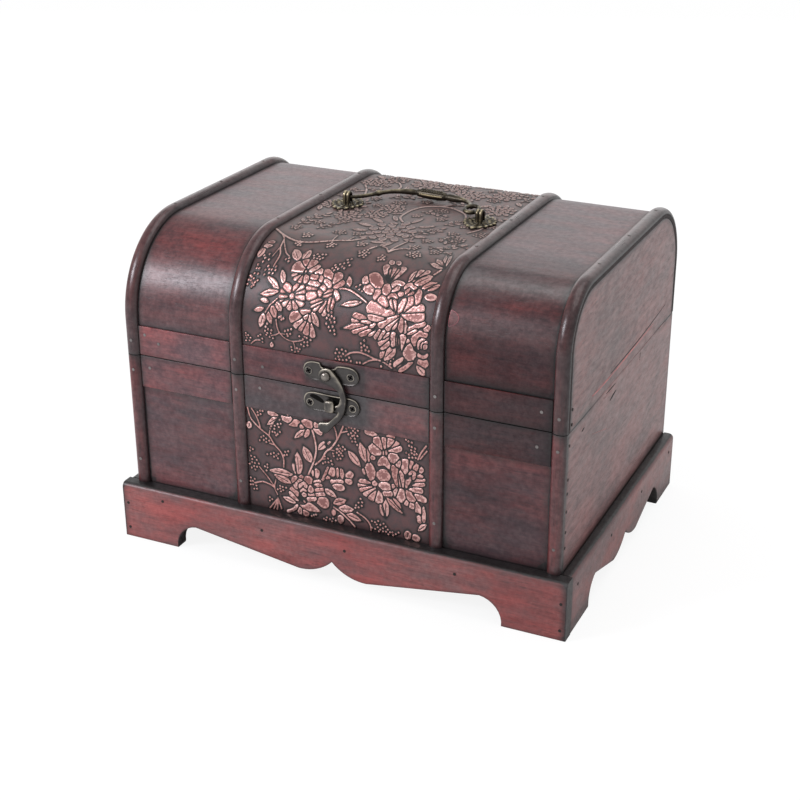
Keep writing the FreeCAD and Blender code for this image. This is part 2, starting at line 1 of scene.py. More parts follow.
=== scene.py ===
import bpy
import math
import numpy as np
from mathutils import Matrix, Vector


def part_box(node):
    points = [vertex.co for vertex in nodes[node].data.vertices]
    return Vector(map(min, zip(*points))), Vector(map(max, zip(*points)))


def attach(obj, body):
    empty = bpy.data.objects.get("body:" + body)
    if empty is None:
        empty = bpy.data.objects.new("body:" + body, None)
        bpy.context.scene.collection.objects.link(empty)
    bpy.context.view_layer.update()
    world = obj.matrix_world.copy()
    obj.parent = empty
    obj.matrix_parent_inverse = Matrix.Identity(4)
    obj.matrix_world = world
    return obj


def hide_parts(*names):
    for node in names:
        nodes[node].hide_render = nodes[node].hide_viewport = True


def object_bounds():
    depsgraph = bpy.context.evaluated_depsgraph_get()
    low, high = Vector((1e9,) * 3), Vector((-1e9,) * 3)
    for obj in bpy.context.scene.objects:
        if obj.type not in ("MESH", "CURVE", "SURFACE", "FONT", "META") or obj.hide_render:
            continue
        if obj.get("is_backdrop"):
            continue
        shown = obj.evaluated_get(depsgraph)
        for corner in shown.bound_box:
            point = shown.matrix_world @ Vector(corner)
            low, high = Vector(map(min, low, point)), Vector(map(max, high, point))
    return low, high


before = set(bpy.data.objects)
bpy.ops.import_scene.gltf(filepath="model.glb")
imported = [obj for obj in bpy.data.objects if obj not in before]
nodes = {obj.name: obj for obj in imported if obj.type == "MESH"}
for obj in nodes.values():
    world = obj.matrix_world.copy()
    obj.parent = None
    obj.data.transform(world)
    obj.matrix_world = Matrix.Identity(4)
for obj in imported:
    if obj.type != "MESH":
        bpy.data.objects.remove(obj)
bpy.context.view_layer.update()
rng = np.random.default_rng(11)

# Sizes of the chest in millimetres, in the frame's axes
FRONT, BACK = -96.75, 101.25
HALF = 136.4
SIDES = ((-1, "left"), (1, "right"))
PLINTH_HALF, PLINTH_TOP, PLINTH_FRONT = 143.0, 36.4, -105.75
PLINTH_BOARD, PLINTH_SIDE, PLINTH_ROUND = 9.0, 6.6, 3.0
ARCH_HIGH, ARCH_LOW, ARCH_MIDDLE, ARCH_REACH = 16.5, 6.0, 15.2, 22.0
BOX_LOW, BOX_TOP = 18.0, 120.0
BAY_ROUND = 9.0
LID_LOW, LID_TOP = 120.4, 194.0
SHOULDER_FRONT, SHOULDER_BACK = (52.0, 32.0), (34.0, 41.0)
SKIN, SKIN_GAP = 2.5, 0.25
END_LOW, END_FACE, END_INNER = LID_LOW - 0.3, HALF - 0.15, HALF - 8.0
STRIP = 1.2
STRIP_FACE = FRONT - STRIP
LID_STRIP, BOX_STRIP = 18.0, 20.0
BAND_WIDTH, BAND_HEIGHT, BAND_SINK = 8.5, 3.2, 0.2
BANDS = {"left_outer": -132.15, "left_inner": -62.0, "right_inner": 62.0, "right_outer": 132.15}
BAYS = {"left": (-127.9, -66.25), "middle": (-57.75, 57.75), "right": (66.25, 127.9)}
GROUND, CREST = 0.4, 1.0
PANEL_FACE = LID_TOP + CREST
LATCH_X, LATCH_HALF, LATCH_Z = 0.6, (17.3, 5.6), {"lid": 129.6, "box": 111.0}
PLATE_FACE = -99.15
RIVET, RIVET_SHIFT = (-4.5, 129.3), (1.3, 0.6)
HANDLE_Y, AXIS_Z, HANDLE_X, HANDLE_OFFSET = 3.25, 199.5, 43.2, 2.0
POST_SHIFT = {"left": 0.0, "right": 2.0}
TURN = 2 * math.pi


def add(name, verts, faces, mat, body, replaces=(), attrs=None, sharp=None, weighted=False):
    """A mesh from points in millimetres that rides on a body and stands for CAD nodes."""
    me = bpy.data.meshes.new(name)
    points = np.asarray(verts, float).reshape(-1, 3) * 0.001
    me.from_pydata(points.tolist(), [], [[int(i) for i in f] for f in faces])
    for key, values in (attrs or {}).items():
        values = np.asarray(values, np.float32)
        kind, field = ("FLOAT", "value") if values.ndim == 1 else ("FLOAT_VECTOR", "vector")
        layer = me.attributes.new(key, kind, "POINT")
        layer.data.foreach_set(field, values.ravel())
    me.update()
    me.polygons.foreach_set("use_smooth", [True] * len(me.polygons))
    if sharp is not None:
        me.set_sharp_from_angle(angle=math.radians(sharp))
    obj = bpy.data.objects.new(name, me)
    bpy.context.scene.collection.objects.link(obj)
    me.materials.append(mat)
    if weighted:
        keep = obj.modifiers.new("normals", "WEIGHTED_NORMAL")
        keep.keep_sharp = True
    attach(obj, body)
    if replaces:
        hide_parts(*replaces)
    return obj


def grid_faces(nu, nv, start=0, around=False):
    """Faces of a grid of nu by nv points, closed along its second side when it goes around."""
    i = np.arange(nu - 1)[:, None]
    j = np.arange(nv if around else nv - 1)[None, :]
    k = (j + 1) % nv
    a = start + i * nv + j
    b = start + (i + 1) * nv + j
    c = start + (i + 1) * nv + k
    d = start + i * nv + k
    return np.stack([a, b, c, d], -1).reshape(-1, 4).tolist()


def outward(points, faces):
    """The faces turned so that a closed mesh faces out."""
    volume = sum(float(np.dot(points[f[0]], np.cross(points[f[k]], points[f[k + 1]])))
                 for f in faces for k in range(1, len(f) - 1))
    return [f[::-1] for f in faces] if volume < 0 else faces


def loft(rings):
    """Points and faces of closed rings joined one to the next, with flat ends."""
    rings = np.asarray(rings, float)
    n, m = rings.shape[:2]
    faces = grid_faces(n, m, around=True)
    faces.append(list(range(m)))
    faces.append([(n - 1) * m + k for k in range(m)][::-1])
    points = rings.reshape(-1, 3)
    return points, outward(points, faces)


def merged(points, faces):
    """The same mesh with its double points joined."""
    key = np.round(np.asarray(points), 4)
    unique, index = np.unique(key, axis=0, return_inverse=True)
    index = index.ravel()
    out = []
    for f in faces:
        g = []
        for i in f:
            k = int(index[i])
            if not g or (k != g[-1] and k != g[0]):
                g.append(k)
        if len(g) > 2:
            out.append(g)
    return unique, out


def spaced(low, high, r, step):
    """Places from low to high, with closer ones for the rounding at both ends."""
    inner = np.linspace(low + r, high - r, max(2, int(round((high - low - 2 * r) / step)) + 1))
    return np.concatenate([[low, low + 0.4 * r], inner, [high - 0.4 * r, high]])


def rounded_box(low, high, r=0.5, step=4.0):
    """A box with rounded edges and a fine grid on each face."""
    low, high = np.asarray(low, float), np.asarray(high, float)
    r = min(r, 0.45 * float((high - low).min()))
    lines = [spaced(low[k], high[k], r, step) for k in range(3)]
    points, faces, start = [], [], 0
    for axis in range(3):
        a, b = [k for k in range(3) if k != axis]
        for end in (0, 1):
            u, v = np.meshgrid(lines[a], lines[b], indexing="ij")
            p = np.empty(u.shape + (3,))
            p[..., a], p[..., b] = u, v
            p[..., axis] = high[axis] if end else low[axis]
            f = grid_faces(len(lines[a]), len(lines[b]), start)
            flip = (end == 0) != (axis == 1)
            faces += [q[::-1] for q in f] if flip else f
            points.append(p.reshape(-1, 3))
            start += p.shape[0] * p.shape[1]
    p = np.concatenate(points)
    core = np.clip(p, low + r, high - r)
    d = p - core
    d /= np.linalg.norm(d, axis=1)[:, None]
    return merged(core + d * r, faces)


def curve(points, n, closed=False):
    """n points on a smooth curve through the given ones."""
    p = np.asarray(points, float)
    k = len(p)
    if k == 2 and not closed:
        t = np.linspace(0, 1, n)[:, None]
        return p[0] * (1 - t) + p[1] * t
    spans = k if closed else k - 1
    t = np.linspace(0, spans, n, endpoint=not closed)
    i = np.minimum(t.astype(int), spans - 1)
    f = (t - i)[:, None]
    if closed:
        q = [p[(i + o) % k] for o in (-1, 0, 1, 2)]
    else:
        ext = np.vstack([2 * p[0] - p[1], p, 2 * p[-1] - p[-2]])
        q = [ext[i + o] for o in (0, 1, 2, 3)]
    return 0.5 * (2 * q[1] + (q[2] - q[0]) * f + (2 * q[0] - 5 * q[1] + 4 * q[2] - q[3]) * f ** 2
                  + (3 * q[1] - q[0] - 3 * q[2] + q[3]) * f ** 3)


# The lid's outline: strip, front wall, shoulder, top, back shoulder, back wall

def shoulders(x):
    """Radii of the lid's front and back shoulders, which change from the left end to the right one."""
    t = (np.asarray(x, float) + HALF) / (2 * HALF)
    return [left + (right - left) * t for left, right in (SHOULDER_FRONT, SHOULDER_BACK)]


MID_F, MID_B = sum(SHOULDER_FRONT) / 2, sum(SHOULDER_BACK) / 2
KNOTS = np.cumsum([0, LID_STRIP, LID_TOP - MID_F - LID_LOW - LID_STRIP, MID_F * math.pi / 2,
                   BACK - FRONT - MID_F - MID_B, MID_B * math.pi / 2, LID_TOP - MID_B - LID_LOW])
LID_END = float(KNOTS[-1])


def lid_at(x, v, h=0.0):
    """Points on the lid, h above its skin, v along the middle outline from the front seam."""
    x, v, h = np.broadcast_arrays(*(np.asarray(a, float) for a in (x, v, h)))
    rf, rb = shoulders(x)
    k = np.clip(np.searchsorted(KNOTS, v, side="right") - 1, 0, 5)
    t = (v - KNOTS[k]) / (KNOTS[k + 1] - KNOTS[k])
    a = t * math.pi / 2
    strip_top = LID_LOW + LID_STRIP
    y = np.select([k < 2, k == 2, k == 3, k == 4],
                  [FRONT - h, FRONT + rf - (rf + h) * np.cos(a),
                   FRONT + rf + t * (BACK - rb - FRONT - rf), BACK - rb + (rb + h) * np.sin(a)], BACK + h)
    z = np.select([k == 0, k == 1, k == 2, k == 3, k == 4],
                  [LID_LOW + LID_STRIP * t, strip_top + t * (LID_TOP - rf - strip_top),
                   LID_TOP - rf + (rf + h) * np.sin(a), LID_TOP + h, LID_TOP - rb + (rb + h) * np.cos(a)],
                  LID_TOP - rb + t * (LID_LOW - LID_TOP + rb))
    return np.stack([x, y, z], -1)


def along_lid(counts):
    """Places along the lid's outline, with the given number of points between its knots."""
    return np.unique(np.concatenate([np.linspace(KNOTS[k], KNOTS[k + 1], c) for k, c in enumerate(counts)]))


def circle(count):
    """Angles of so many points round a circle."""
    return np.linspace(0, TURN, count, endpoint=False)


def hump(value, middle, width):
    """A soft rise to 1 at the middle."""
    return np.exp(-((value - middle) / width) ** 2)


# Materials

def new_material(name):
    """An empty material and its node tree."""
    mat = bpy.data.materials.new(name)
    mat.use_nodes = True
    mat.node_tree.nodes.clear()
    return mat, mat.node_tree


class Nodes:
    """Short ways to place and join shader nodes."""

    def __init__(self, tree):
        self.tree = tree

    def put(self, kind, inputs=None, **props):
        """A node with its properties, and its inputs set or linked."""
        node = self.tree.nodes.new(kind)
        for key, value in props.items():
            setattr(node, key, value)
        for key, value in (inputs or {}).items():
            if isinstance(value, bpy.types.NodeSocket):
                self.tree.links.new(value, node.inputs[key])
            else:
                node.inputs[key].default_value = value
        return node

    def attribute(self, name, field="Fac"):
        return self.put("ShaderNodeAttribute", attribute_name=name).outputs[field]

    def math(self, op, a, b=0.0, c=0.0, clamp=False):
        return self.put("ShaderNodeMath", {0: a, 1: b, 2: c}, operation=op, use_clamp=clamp).outputs[0]

    def times(self, a, b, clamp=False):
        return self.math("MULTIPLY", a, b, clamp=clamp)

    def plus(self, a, b):
        return self.math("ADD", a, b)

    def less(self, a, b):
        return self.math("SUBTRACT", a, b)

    def most(self, a, b):
        return self.math("MAXIMUM", a, b)

    def total(self, *pairs, base=0.0):
        """The base plus each value times its weight."""
        for value, weight in pairs[::-1]:
            base = self.math("MULTIPLY_ADD", value, weight, base)
        return base

    def noise(self, vector, scale, detail=3.0, rough=0.55, distort=0.0):
        node = self.put("ShaderNodeTexNoise", {"Vector": vector, "Scale": scale, "Detail": detail,
                                               "Roughness": rough, "Distortion": distort})
        return node.outputs["Fac"]

    def stretch(self, vector, scale):
        return self.put("ShaderNodeMapping", {"Vector": vector, "Scale": scale}).outputs["Vector"]

    def ramp(self, fac, stops):
        """A colour ramp with stops of place and colour."""
        node = self.put("ShaderNodeValToRGB", {"Fac": fac})
        ramp = node.color_ramp
        while len(ramp.elements) < len(stops):
            ramp.elements.new(0.5)
        for element, (place, colour) in zip(ramp.elements, stops):
            element.position = place
            element.color = (*colour, 1.0) if len(colour) == 3 else colour
        return node.outputs["Color"]

    def mix(self, fac, a, b, blend="MIX"):
        """Two colours blended, each a socket or three numbers."""
        node = self.put("ShaderNodeMix", data_type="RGBA", blend_type=blend)
        for key, value in ((0, fac), (6, a), (7, b)):
            if isinstance(value, bpy.types.NodeSocket):
                self.tree.links.new(value, node.inputs[key])
            elif key == 0:
                node.inputs[0].default_value = value
            else:
                node.inputs[key].default_value = (*value, 1.0)
        return node.outputs[2]

    def smooth(self, value, low, high, out_low=0.0, out_high=1.0):
        """The value moved by a smooth step from one range to another."""
        node = self.put("ShaderNodeMapRange", {"Value": value, "From Min": low, "From Max": high,
                                               "To Min": out_low, "To Max": out_high},
                        interpolation_type="SMOOTHSTEP")
        return node.outputs["Result"]

    def surface(self, colour, rough, metallic=0.0, normal=None, **more):
        """A principled shader joined to the material's output."""
        inputs = {"Base Color": colour, "Roughness": rough, "Metallic": metallic}
        if not isinstance(colour, bpy.types.NodeSocket):
            inputs["Base Color"] = (*colour, 1.0)
        if normal is not None:
            inputs["Normal"] = normal
        inputs.update(more)
        shader = self.put("ShaderNodeBsdfPrincipled", inputs)
        out = self.put("ShaderNodeOutputMaterial")
        self.tree.links.new(shader.outputs[0], out.inputs["Surface"])

    def bump(self, height, distance, strength=1.0):
        return self.put("ShaderNodeBump", {"Height": height, "Distance": distance,
                                           "Strength": strength}).outputs["Normal"]


def wood(name, deep, body, light, rough=0.36, coat=0.25, relief=0.00012, warm=1.0, speck=0.8, along=330.0):
    """Stained wood: grain runs along the attribute's first axis, black glaze lies at edges and in corners.

    Attributes: edge (mm to the nearest edge or joint), dark and red (broad patches; dark also holds
    painted shadow and shade), stain and gloss (per piece; a near-black stain paints a shadow gap).
    """
    mat, tree = new_material(name)
    n = Nodes(tree)
    at = n.attribute("grain", "Vector")

    def layer(lengthwise, across, *detail):
        return n.noise(n.stretch(at, (lengthwise, across, across)), 1.0, *detail)

    fibre = layer(60.0, 900.0, 4.0, 0.65, 0.2)
    streak = layer(16.0, 150.0, 4.0, 0.6, 0.3)
    cloud = layer(26.0, 44.0, 5.0, 0.62)
    patch = layer(12.0, 19.0, 3.0, 0.5)
    mottle = layer(along, 330.0, 4.0, 0.65)
    pores = layer(150.0, 1500.0, 2.0, 0.5)
    blush = n.smooth(layer(22.0, 55.0, 6.0, 0.68), 0.34, 0.68)
    tone = n.total((fibre, 0.30), (streak, 0.22), (cloud, 0.26), (mottle, 0.22))
    colour = n.ramp(tone, [(0.35, deep), (0.5, body), (0.66, light)])
    rubbed = n.smooth(n.total((mottle, 0.4), (cloud, 0.6)), 0.36, 0.62, 0.3, 1.0)
    red = n.times(n.attribute("red"), rubbed, clamp=True)
    colour = n.mix(red, colour, n.ramp(tone, [(0.36, (0.075, 0.008, 0.010)), (0.64, (0.23, 0.038, 0.036))]))
    stain = n.times(n.attribute("stain"), n.total((patch, 0.5), base=0.75))
    tint = n.put("ShaderNodeCombineColor", {"Red": stain, "Green": stain, "Blue": stain}).outputs[0]
    colour = n.mix(1.0, colour, tint, "MULTIPLY")
    colour = n.mix(warm, colour, n.mix(blush, (0.78, 1.08, 1.14), (1.34, 0.87, 0.85)), "MULTIPLY")
    # Broad darkening from the dark attribute, which also holds the painted shadow round the latch and the
    # painted shade on the bands.
    broad = n.plus(n.attribute("dark"), n.total((cloud, 0.7), base=-0.36))
    broad = n.smooth(broad, 0.1, 0.95, 0.0, 0.85)
    colour = n.mix(broad, colour, (0.014, 0.0115, 0.0135))
    ragged = n.total((mottle, 1.5), (cloud, 2.6), base=-2.05)
    line = n.smooth(n.less(n.attribute("edge"), ragged), 0.15, 1.5, 0.95, 0.0)
    soft = n.smooth(n.less(n.attribute("edge"), n.times(ragged, 2.0)), 0.0, 4.5, 0.5, 0.0)
    glaze = n.most(line, soft)
    colour = n.mix(glaze, colour, (0.0065, 0.0052, 0.0058))
    pore = n.smooth(pores, 0.33, 0.4, 1.0, 0.0)
    colour = n.mix(n.times(pore, 0.3), colour, (0.008, 0.005, 0.005))
    sheen = n.total((streak, 0.2), (mottle, 0.3), (cloud, 0.5))
    shine = n.times(n.attribute("gloss"), n.smooth(sheen, 0.38, 0.62, 0.84, 1.16))
    shine = n.times(shine, n.total((mottle, speck), base=1.0 - 0.5 * speck))
    rougher = n.total((n.most(broad, glaze), 0.1), (fibre, 0.1), (cloud, 0.14), base=rough - 0.07)
    height = n.total((mottle, 0.5), (fibre, 0.5), (pore, -0.5))
    n.surface(colour, rougher, normal=n.bump(height, relief, 0.6),
              **{"Coat Weight": n.times(shine, coat), "Coat Roughness": 0.28,
                 "Specular IOR Level": n.times(shine, 0.5)})
    return mat


def leather(name):
    """Embossed ground with dark outlines left round a rubbed copper relief."""
    mat, tree = new_material(name)
    n = Nodes(tree)
    at = n.put("ShaderNodeTexCoord").outputs["Object"]
    fine = n.noise(at, 1100.0, 3.0, 0.6)
    spots = n.noise(at, 620.0, 4.0, 0.65)
    mottle = n.smooth(n.noise(at, 170.0, 5.0, 0.7), 0.36, 0.66)
    cloud = n.noise(at, 42.0, 3.0, 0.55)
    inside, tone, rub = n.attribute("inside"), n.attribute("tone"), n.attribute("rub")
    front = n.smooth(rub, 0.3, 0.95)
    ground = n.mix(front, n.mix(cloud, (0.080, 0.050, 0.047), (0.125, 0.083, 0.078)),
                   n.mix(cloud, (0.058, 0.029, 0.031), (0.101, 0.054, 0.055)))
    ground = n.mix(1.0, ground, n.mix(mottle, (0.78, 0.92, 0.94), (1.24, 1.0, 0.98)), "MULTIPLY")
    halo = n.times(n.smooth(inside, -2.2, -0.5, 0.0, 0.55), n.total((rub, 0.8), base=0.2))
    shade = n.most(halo, n.times(n.attribute("rim"), 0.75))
    ground = n.mix(shade, ground, (0.012, 0.0055, 0.006))
    rim = n.smooth(inside, 0.02, 0.32)
    heart = n.smooth(n.total((spots, 4.6), (inside, 0.4), base=-2.12), 0.25, 1.05)
    bright = n.mix(tone, (0.57, 0.295, 0.268), (0.82, 0.505, 0.467))
    bright = n.mix(front, (0.62, 0.44, 0.40), bright)
    copper = n.mix(n.times(heart, 0.85), bright, (0.20, 0.082, 0.077))
    ring = n.times(rim, n.smooth(inside, 0.4, 0.95, 1.0, 0.3))
    share = n.most(n.times(rim, front), n.times(ring, n.smooth(rub, 0.0, 0.45, 0.0, 0.9)))
    colour = n.mix(share, ground, copper)
    line = n.times(n.smooth(inside, -1.0, -0.4), n.smooth(inside, 0.04, 0.32, 1.0, 0.0))
    colour = n.mix(n.times(line, n.total((front, 0.25), base=0.72)), colour, (0.004, 0.003, 0.003))
    rough = n.total((share, -0.1), (fine, 0.14), base=0.37)
    n.surface(colour, rough, n.times(share, 0.62), n.bump(n.plus(fine, spots), 0.00006, 0.7))
    return mat


def bronze(name, base, bright, rough=0.34):
    """Antique bronze, brassy where the edge attribute is high and near black where it is below zero: that
    attribute holds wear, and on plates and rods also painted highlight and painted shade.
    """
    mat, tree = new_material(name)
    n = Nodes(tree)
    at = n.put("ShaderNodeTexCoord").outputs["Object"]
    cloud = n.noise(at, 260.0, 4.0, 0.6)
    fine = n.noise(at, 1500.0, 2.0, 0.5)
    patch = n.noise(at, 110.0, 2.0, 0.5)
    worn = n.plus(n.attribute("edge"), n.total((cloud, 0.6), (patch, 0.9), base=-0.84))
    worn = n.smooth(worn, 0.12, 0.95)
    colour = n.mix(cloud, tuple(0.6 * c for c in base), tuple(1.35 * c for c in base))
    colour = n.mix(worn, colour, bright)
    # Near black where the edge attribute is below zero: painted shade under rods and on lower rims, and dark
    # rings on the screw heads.
    colour = n.mix(n.smooth(n.attribute("edge"), -0.5, 0.0, 0.8, 0.0), colour, (0.006, 0.005, 0.004))
    gloss = n.total((fine, 0.16), base=rough - 0.06)
    n.surface(colour, gloss, 0.92, n.bump(n.total((cloud, 0.7), base=fine), 0.00008, 0.5))
    return mat


def plain(name, low, high, rough, metallic, scale, specular=0.5):
    """A cloudy colour between two tones."""
    mat, tree = new_material(name)
    n = Nodes(tree)
    at = n.put("ShaderNodeTexCoord").outputs["Object"]
    cloud = n.noise(at, scale, 4.0, 0.6)
    n.surface(n.mix(cloud, low, high), n.total((cloud, 0.2), base=rough - 0.1), metallic,
              n.bump(cloud, 0.00005, 0.5), **{"Specular IOR Level": specular})
    return mat


mahogany = wood("mahogany", (0.030, 0.0115, 0.0155), (0.070, 0.026, 0.031), (0.125, 0.045, 0.048))
band_wood = wood("band_mahogany", (0.022, 0.0075, 0.0095), (0.058, 0.017, 0.019), (0.115, 0.032, 0.033),
                 rough=0.24, coat=0.36)
plinth_wood = wood("plinth_mahogany", (0.095, 0.030, 0.030), (0.185, 0.066, 0.063), (0.29, 0.115, 0.105))
inner_wood = wood("inner_wood", (0.035, 0.014, 0.013), (0.065, 0.026, 0.024), (0.095, 0.040, 0.036),
                  rough=0.6, coat=0.0)
end_wood = wood("end_mahogany", (0.034, 0.0155, 0.0165), (0.076, 0.034, 0.033), (0.135, 0.060, 0.054),
                relief=0.00025, warm=0.45, speck=1.7, along=120.0)
embossed = leather("embossed_leatherette")
metal = bronze("antique_bronze", (0.074, 0.069, 0.066), (0.50, 0.45, 0.37))
handle_metal = bronze("handle_bronze", (0.052, 0.044, 0.033), (0.46, 0.385, 0.25))
dome = bronze("polished_bronze", (0.070, 0.062, 0.057), (0.30, 0.27, 0.24), 0.26)
pin_dark = plain("pin_dark", (0.010, 0.008, 0.008), (0.05, 0.042, 0.04), 0.5, 0.6, 900.0)
steel = plain("pin_steel", (0.012, 0.010, 0.010), (0.36, 0.33, 0.32), 0.45, 0.7, 60.0)
# Near-black paint for slots: dark bars and sheets stand for the shade inside the screw and keeper slots.
painted_slot_shade = plain("screw_dark", (0.002, 0.0018, 0.0016), (0.007, 0.006, 0.005), 0.8, 0.0, 900.0, 0.08)


# Wooden pieces carry their grain, glaze and stain as attributes

def grain(points, axis):
    """Grain coordinates in metres: the first one runs along the given axis."""
    p = np.asarray(points, float) * 0.001
    order = {"x": (0, 1, 2), "y": (1, 0, 2), "z": (2, 0, 1)}[axis]
    return p[:, order] + rng.uniform(0.5, 9.5, 3)


def near(distance, reach):
    """1 at no distance, fading out over the reach."""
    return np.exp(-np.maximum(distance, 0.0) / reach)


def rounded_rect(x, z, x0, x1, z0, z1, r):
    """Distance outside (+) or inside (-) of a rectangle with round corners."""
    qx = np.abs(x - (x0 + x1) / 2) - (x1 - x0) / 2 + r
    qz = np.abs(z - (z0 + z1) / 2) - (z1 - z0) / 2 + r
    return np.hypot(np.maximum(qx, 0), np.maximum(qz, 0)) + np.minimum(np.maximum(qx, qz), 0) - r


def wood_attrs(points, axis, edge, dark, red, stain=1.0, gloss=1.0):
    """The attributes that the wood material reads, from single values or values per point."""
    zero = np.zeros(len(points))
    return {"grain": grain(points, axis), "edge": np.clip(edge + zero, 0, 30),
            "dark": np.clip(dark + zero, 0, 1.2), "red": np.clip(red + zero, 0, 1),
            "stain": stain + zero, "gloss": gloss + zero}


def wooden(name, points, faces, axis, edge, dark, red, body, mat=None, sharp=None,
           stain=1.0, gloss=1.0):
    """A wooden piece that stands for the CAD node of the same name."""
    return add(name, points, faces, mat or mahogany, body, [name.replace("look_", "")],
               wood_attrs(points, axis, edge, dark, red, stain, gloss), sharp, weighted=True)


def node_box(node):
    """Lowest and highest corner of a CAD node, in millimetres."""
    low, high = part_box(node)
    return np.array(low) * 1000, np.array(high) * 1000


# Plinth boards, lofted along their length

FRONT_FOOT, SIDE_FOOT, BACK_FOOT = (37.5, 13.5), (30.5, 11.0), (30.9, 13.5)


def arch_line(half, foot, run):
    """(along, up) points of a plinth board's lower edge, left to right: feet, arches and middle drop."""
    inner, diagonal = half - foot, math.sqrt(0.5)
    spring, crown = np.array([inner, 0]), np.array([inner - run, ARCH_HIGH])
    haunch = np.array([inner - run * (1 - diagonal), ARCH_HIGH * diagonal])
    low = np.array([ARCH_REACH, ARCH_LOW])
    swell = np.array([0.4 * ARCH_REACH, ARCH_LOW + 0.3 * (ARCH_MIDDLE - ARCH_LOW)])
    right = [(half, 0.0), (inner + 0.5 * foot, 0.0), (inner + 0.05, 0.0)]
    right += [tuple(p) for p in arc_points(spring, haunch, crown, 9)]
    right += [tuple(crown * (1 - s) + low * s) for s in np.linspace(0, 1, 9)[1:]]
    right += [tuple(p) for p in arc_points(low, swell, np.array([0, ARCH_MIDDLE]), 11)[1:]]
    left = [(-s, z) for s, z in right[:-1]]
    return np.array(left + right[::-1])


def arc_points(a, b, c, n):
    """n points on the circle through three points."""
    (ax, ay), (bx, by), (cx, cy) = a, b, c
    aa, bb, cc = ax * ax + ay * ay, bx * bx + by * by, cx * cx + cy * cy
    d = 2 * (ax * (by - cy) + bx * (cy - ay) + cx * (ay - by))
    centre = np.array([(aa * (by - cy) + bb * (cy - ay) + cc * (ay - by)) / d,
                       (aa * (cx - bx) + bb * (ax - cx) + cc * (bx - ax)) / d])
    t0, t1, t2 = (math.atan2(*(p - centre)[::-1]) for p in (a, b, c))
    sweep = (t2 - t0) % TURN
    if (t1 - t0) % TURN > sweep:
        sweep -= TURN
    ang = t0 + sweep * np.linspace(0, 1, n)
    r = np.linalg.norm(a - centre)
    return centre + r * np.stack([np.cos(ang), np.sin(ang)], -1)


def board_ring(z_low, z_top, thickness, top_round, small=0.6):
    """A board's cross-section: (out, up), out from 0 at the outside face to -thickness."""
    ring = []
    for k in range(5):
        a = k / 4 * math.pi / 2
        ring.append((-top_round * (1 - math.cos(a)), z_top - top_round * (1 - math.sin(a))))
    ring += [(-thickness + small, z_top), (-thickness, z_top - small)]
    for s in np.linspace(0.0, 1.0, 9):
        ring.append((-thickness, z_top - small - s * (z_top - 2 * small - z_low)))
    ring += [(-thickness + small, z_low), (-small, z_low), (-0.3 * small, z_low + 0.3 * small),
             (0, z_low + small)]
    for s in np.linspace(0.1, 0.95, 9):
        ring.append((0, z_low + small + s * (z_top - top_round - z_low - small)))
    return ring


def plinth_board(name, half, foot, to_xyz, thickness, z_top, top_round, axis, dark_fn, red_fn,
                 stain=(1.1, 1.1, 1.1)):
    """A plinth board lofted along its length: to_xyz places a point (along, out, up) in the frame."""
    line = arch_line(half, *foot)
    dense = [line[0]]
    for p, q in zip(line[:-1], line[1:]):
        steps = max(1, int(abs(q[0] - p[0]) / 4))
        dense += [p + (q - p) * k / steps for k in range(1, steps + 1)]
    path = np.array(dense)
    rings = np.array([[to_xyz(s, out, z) for out, z in board_ring(low, z_top, thickness, top_round)]
                      for s, low in path])
    points, faces = loft(rings)
    along, low = (np.repeat(path[:, k], rings.shape[1]) for k in (0, 1))
    up = points[:, 2]
    edge = np.minimum(np.minimum(z_top - up, 1.6 * (up - low) + 0.4),
                      half - np.abs(along) + (1.0 if axis == "y" else 0.0))
    return wooden(name, points, faces, axis, edge, dark_fn(along, up, points), red_fn(along), "box",
                  plinth_wood, 40, np.interp(along, (-half, 0, half), stain))


def front_dark(s, z, p):
    """Dark in the front plinth's right corner and under the box, behind its rounded edge."""
    corner = 0.75 * near(PLINTH_HALF - np.abs(s), 4.0) * (s > 0)
    return corner + (p[:, 1] > PLINTH_FRONT + 0.9) * near(PLINTH_TOP - z, 3.0)


def side_dark(s, z, p):
    """Dark along a side plinth's foot and under the box, behind its rounded edge."""
    foot = 0.25 + 0.5 * near(z - 4.0, 5.0)
    return foot + (np.abs(p[:, 0]) < PLINTH_HALF - 1.6) * near(PLINTH_TOP - z, 3.0)


plinth_board("look_plinth_front", PLINTH_HALF, FRONT_FOOT, lambda s, o, z: (s, PLINTH_FRONT - o, z),
             PLINTH_BOARD, PLINTH_TOP, PLINTH_ROUND, "x", front_dark,
             lambda s: 0.46 + 0.2 * np.sin(s * 0.06 + 1.0), (1.12, 1.26, 0.92))
side_mid, side_half = (FRONT + BACK) / 2, (BACK - FRONT) / 2
for side, tag in SIDES:
    plinth_board("look_plinth_" + tag, side_half, SIDE_FOOT,
                 lambda s, o, z, k=side: (k * (PLINTH_HALF + o), side_mid + k * s, z),
                 PLINTH_SIDE, PLINTH_TOP, PLINTH_ROUND, "y", side_dark, lambda s: 0.05 + 0 * s)
plinth_board("look_plinth_back", HALF, BACK_FOOT, lambda s, o, z: (-s, BACK + o, z),
             PLINTH_BOARD, BOX_LOW, 0.6, "x", lambda s, z, p: 0.2 + 0 * s, lambda s: 0.1 + 0 * s)

# Boards of the box and rails of the lid

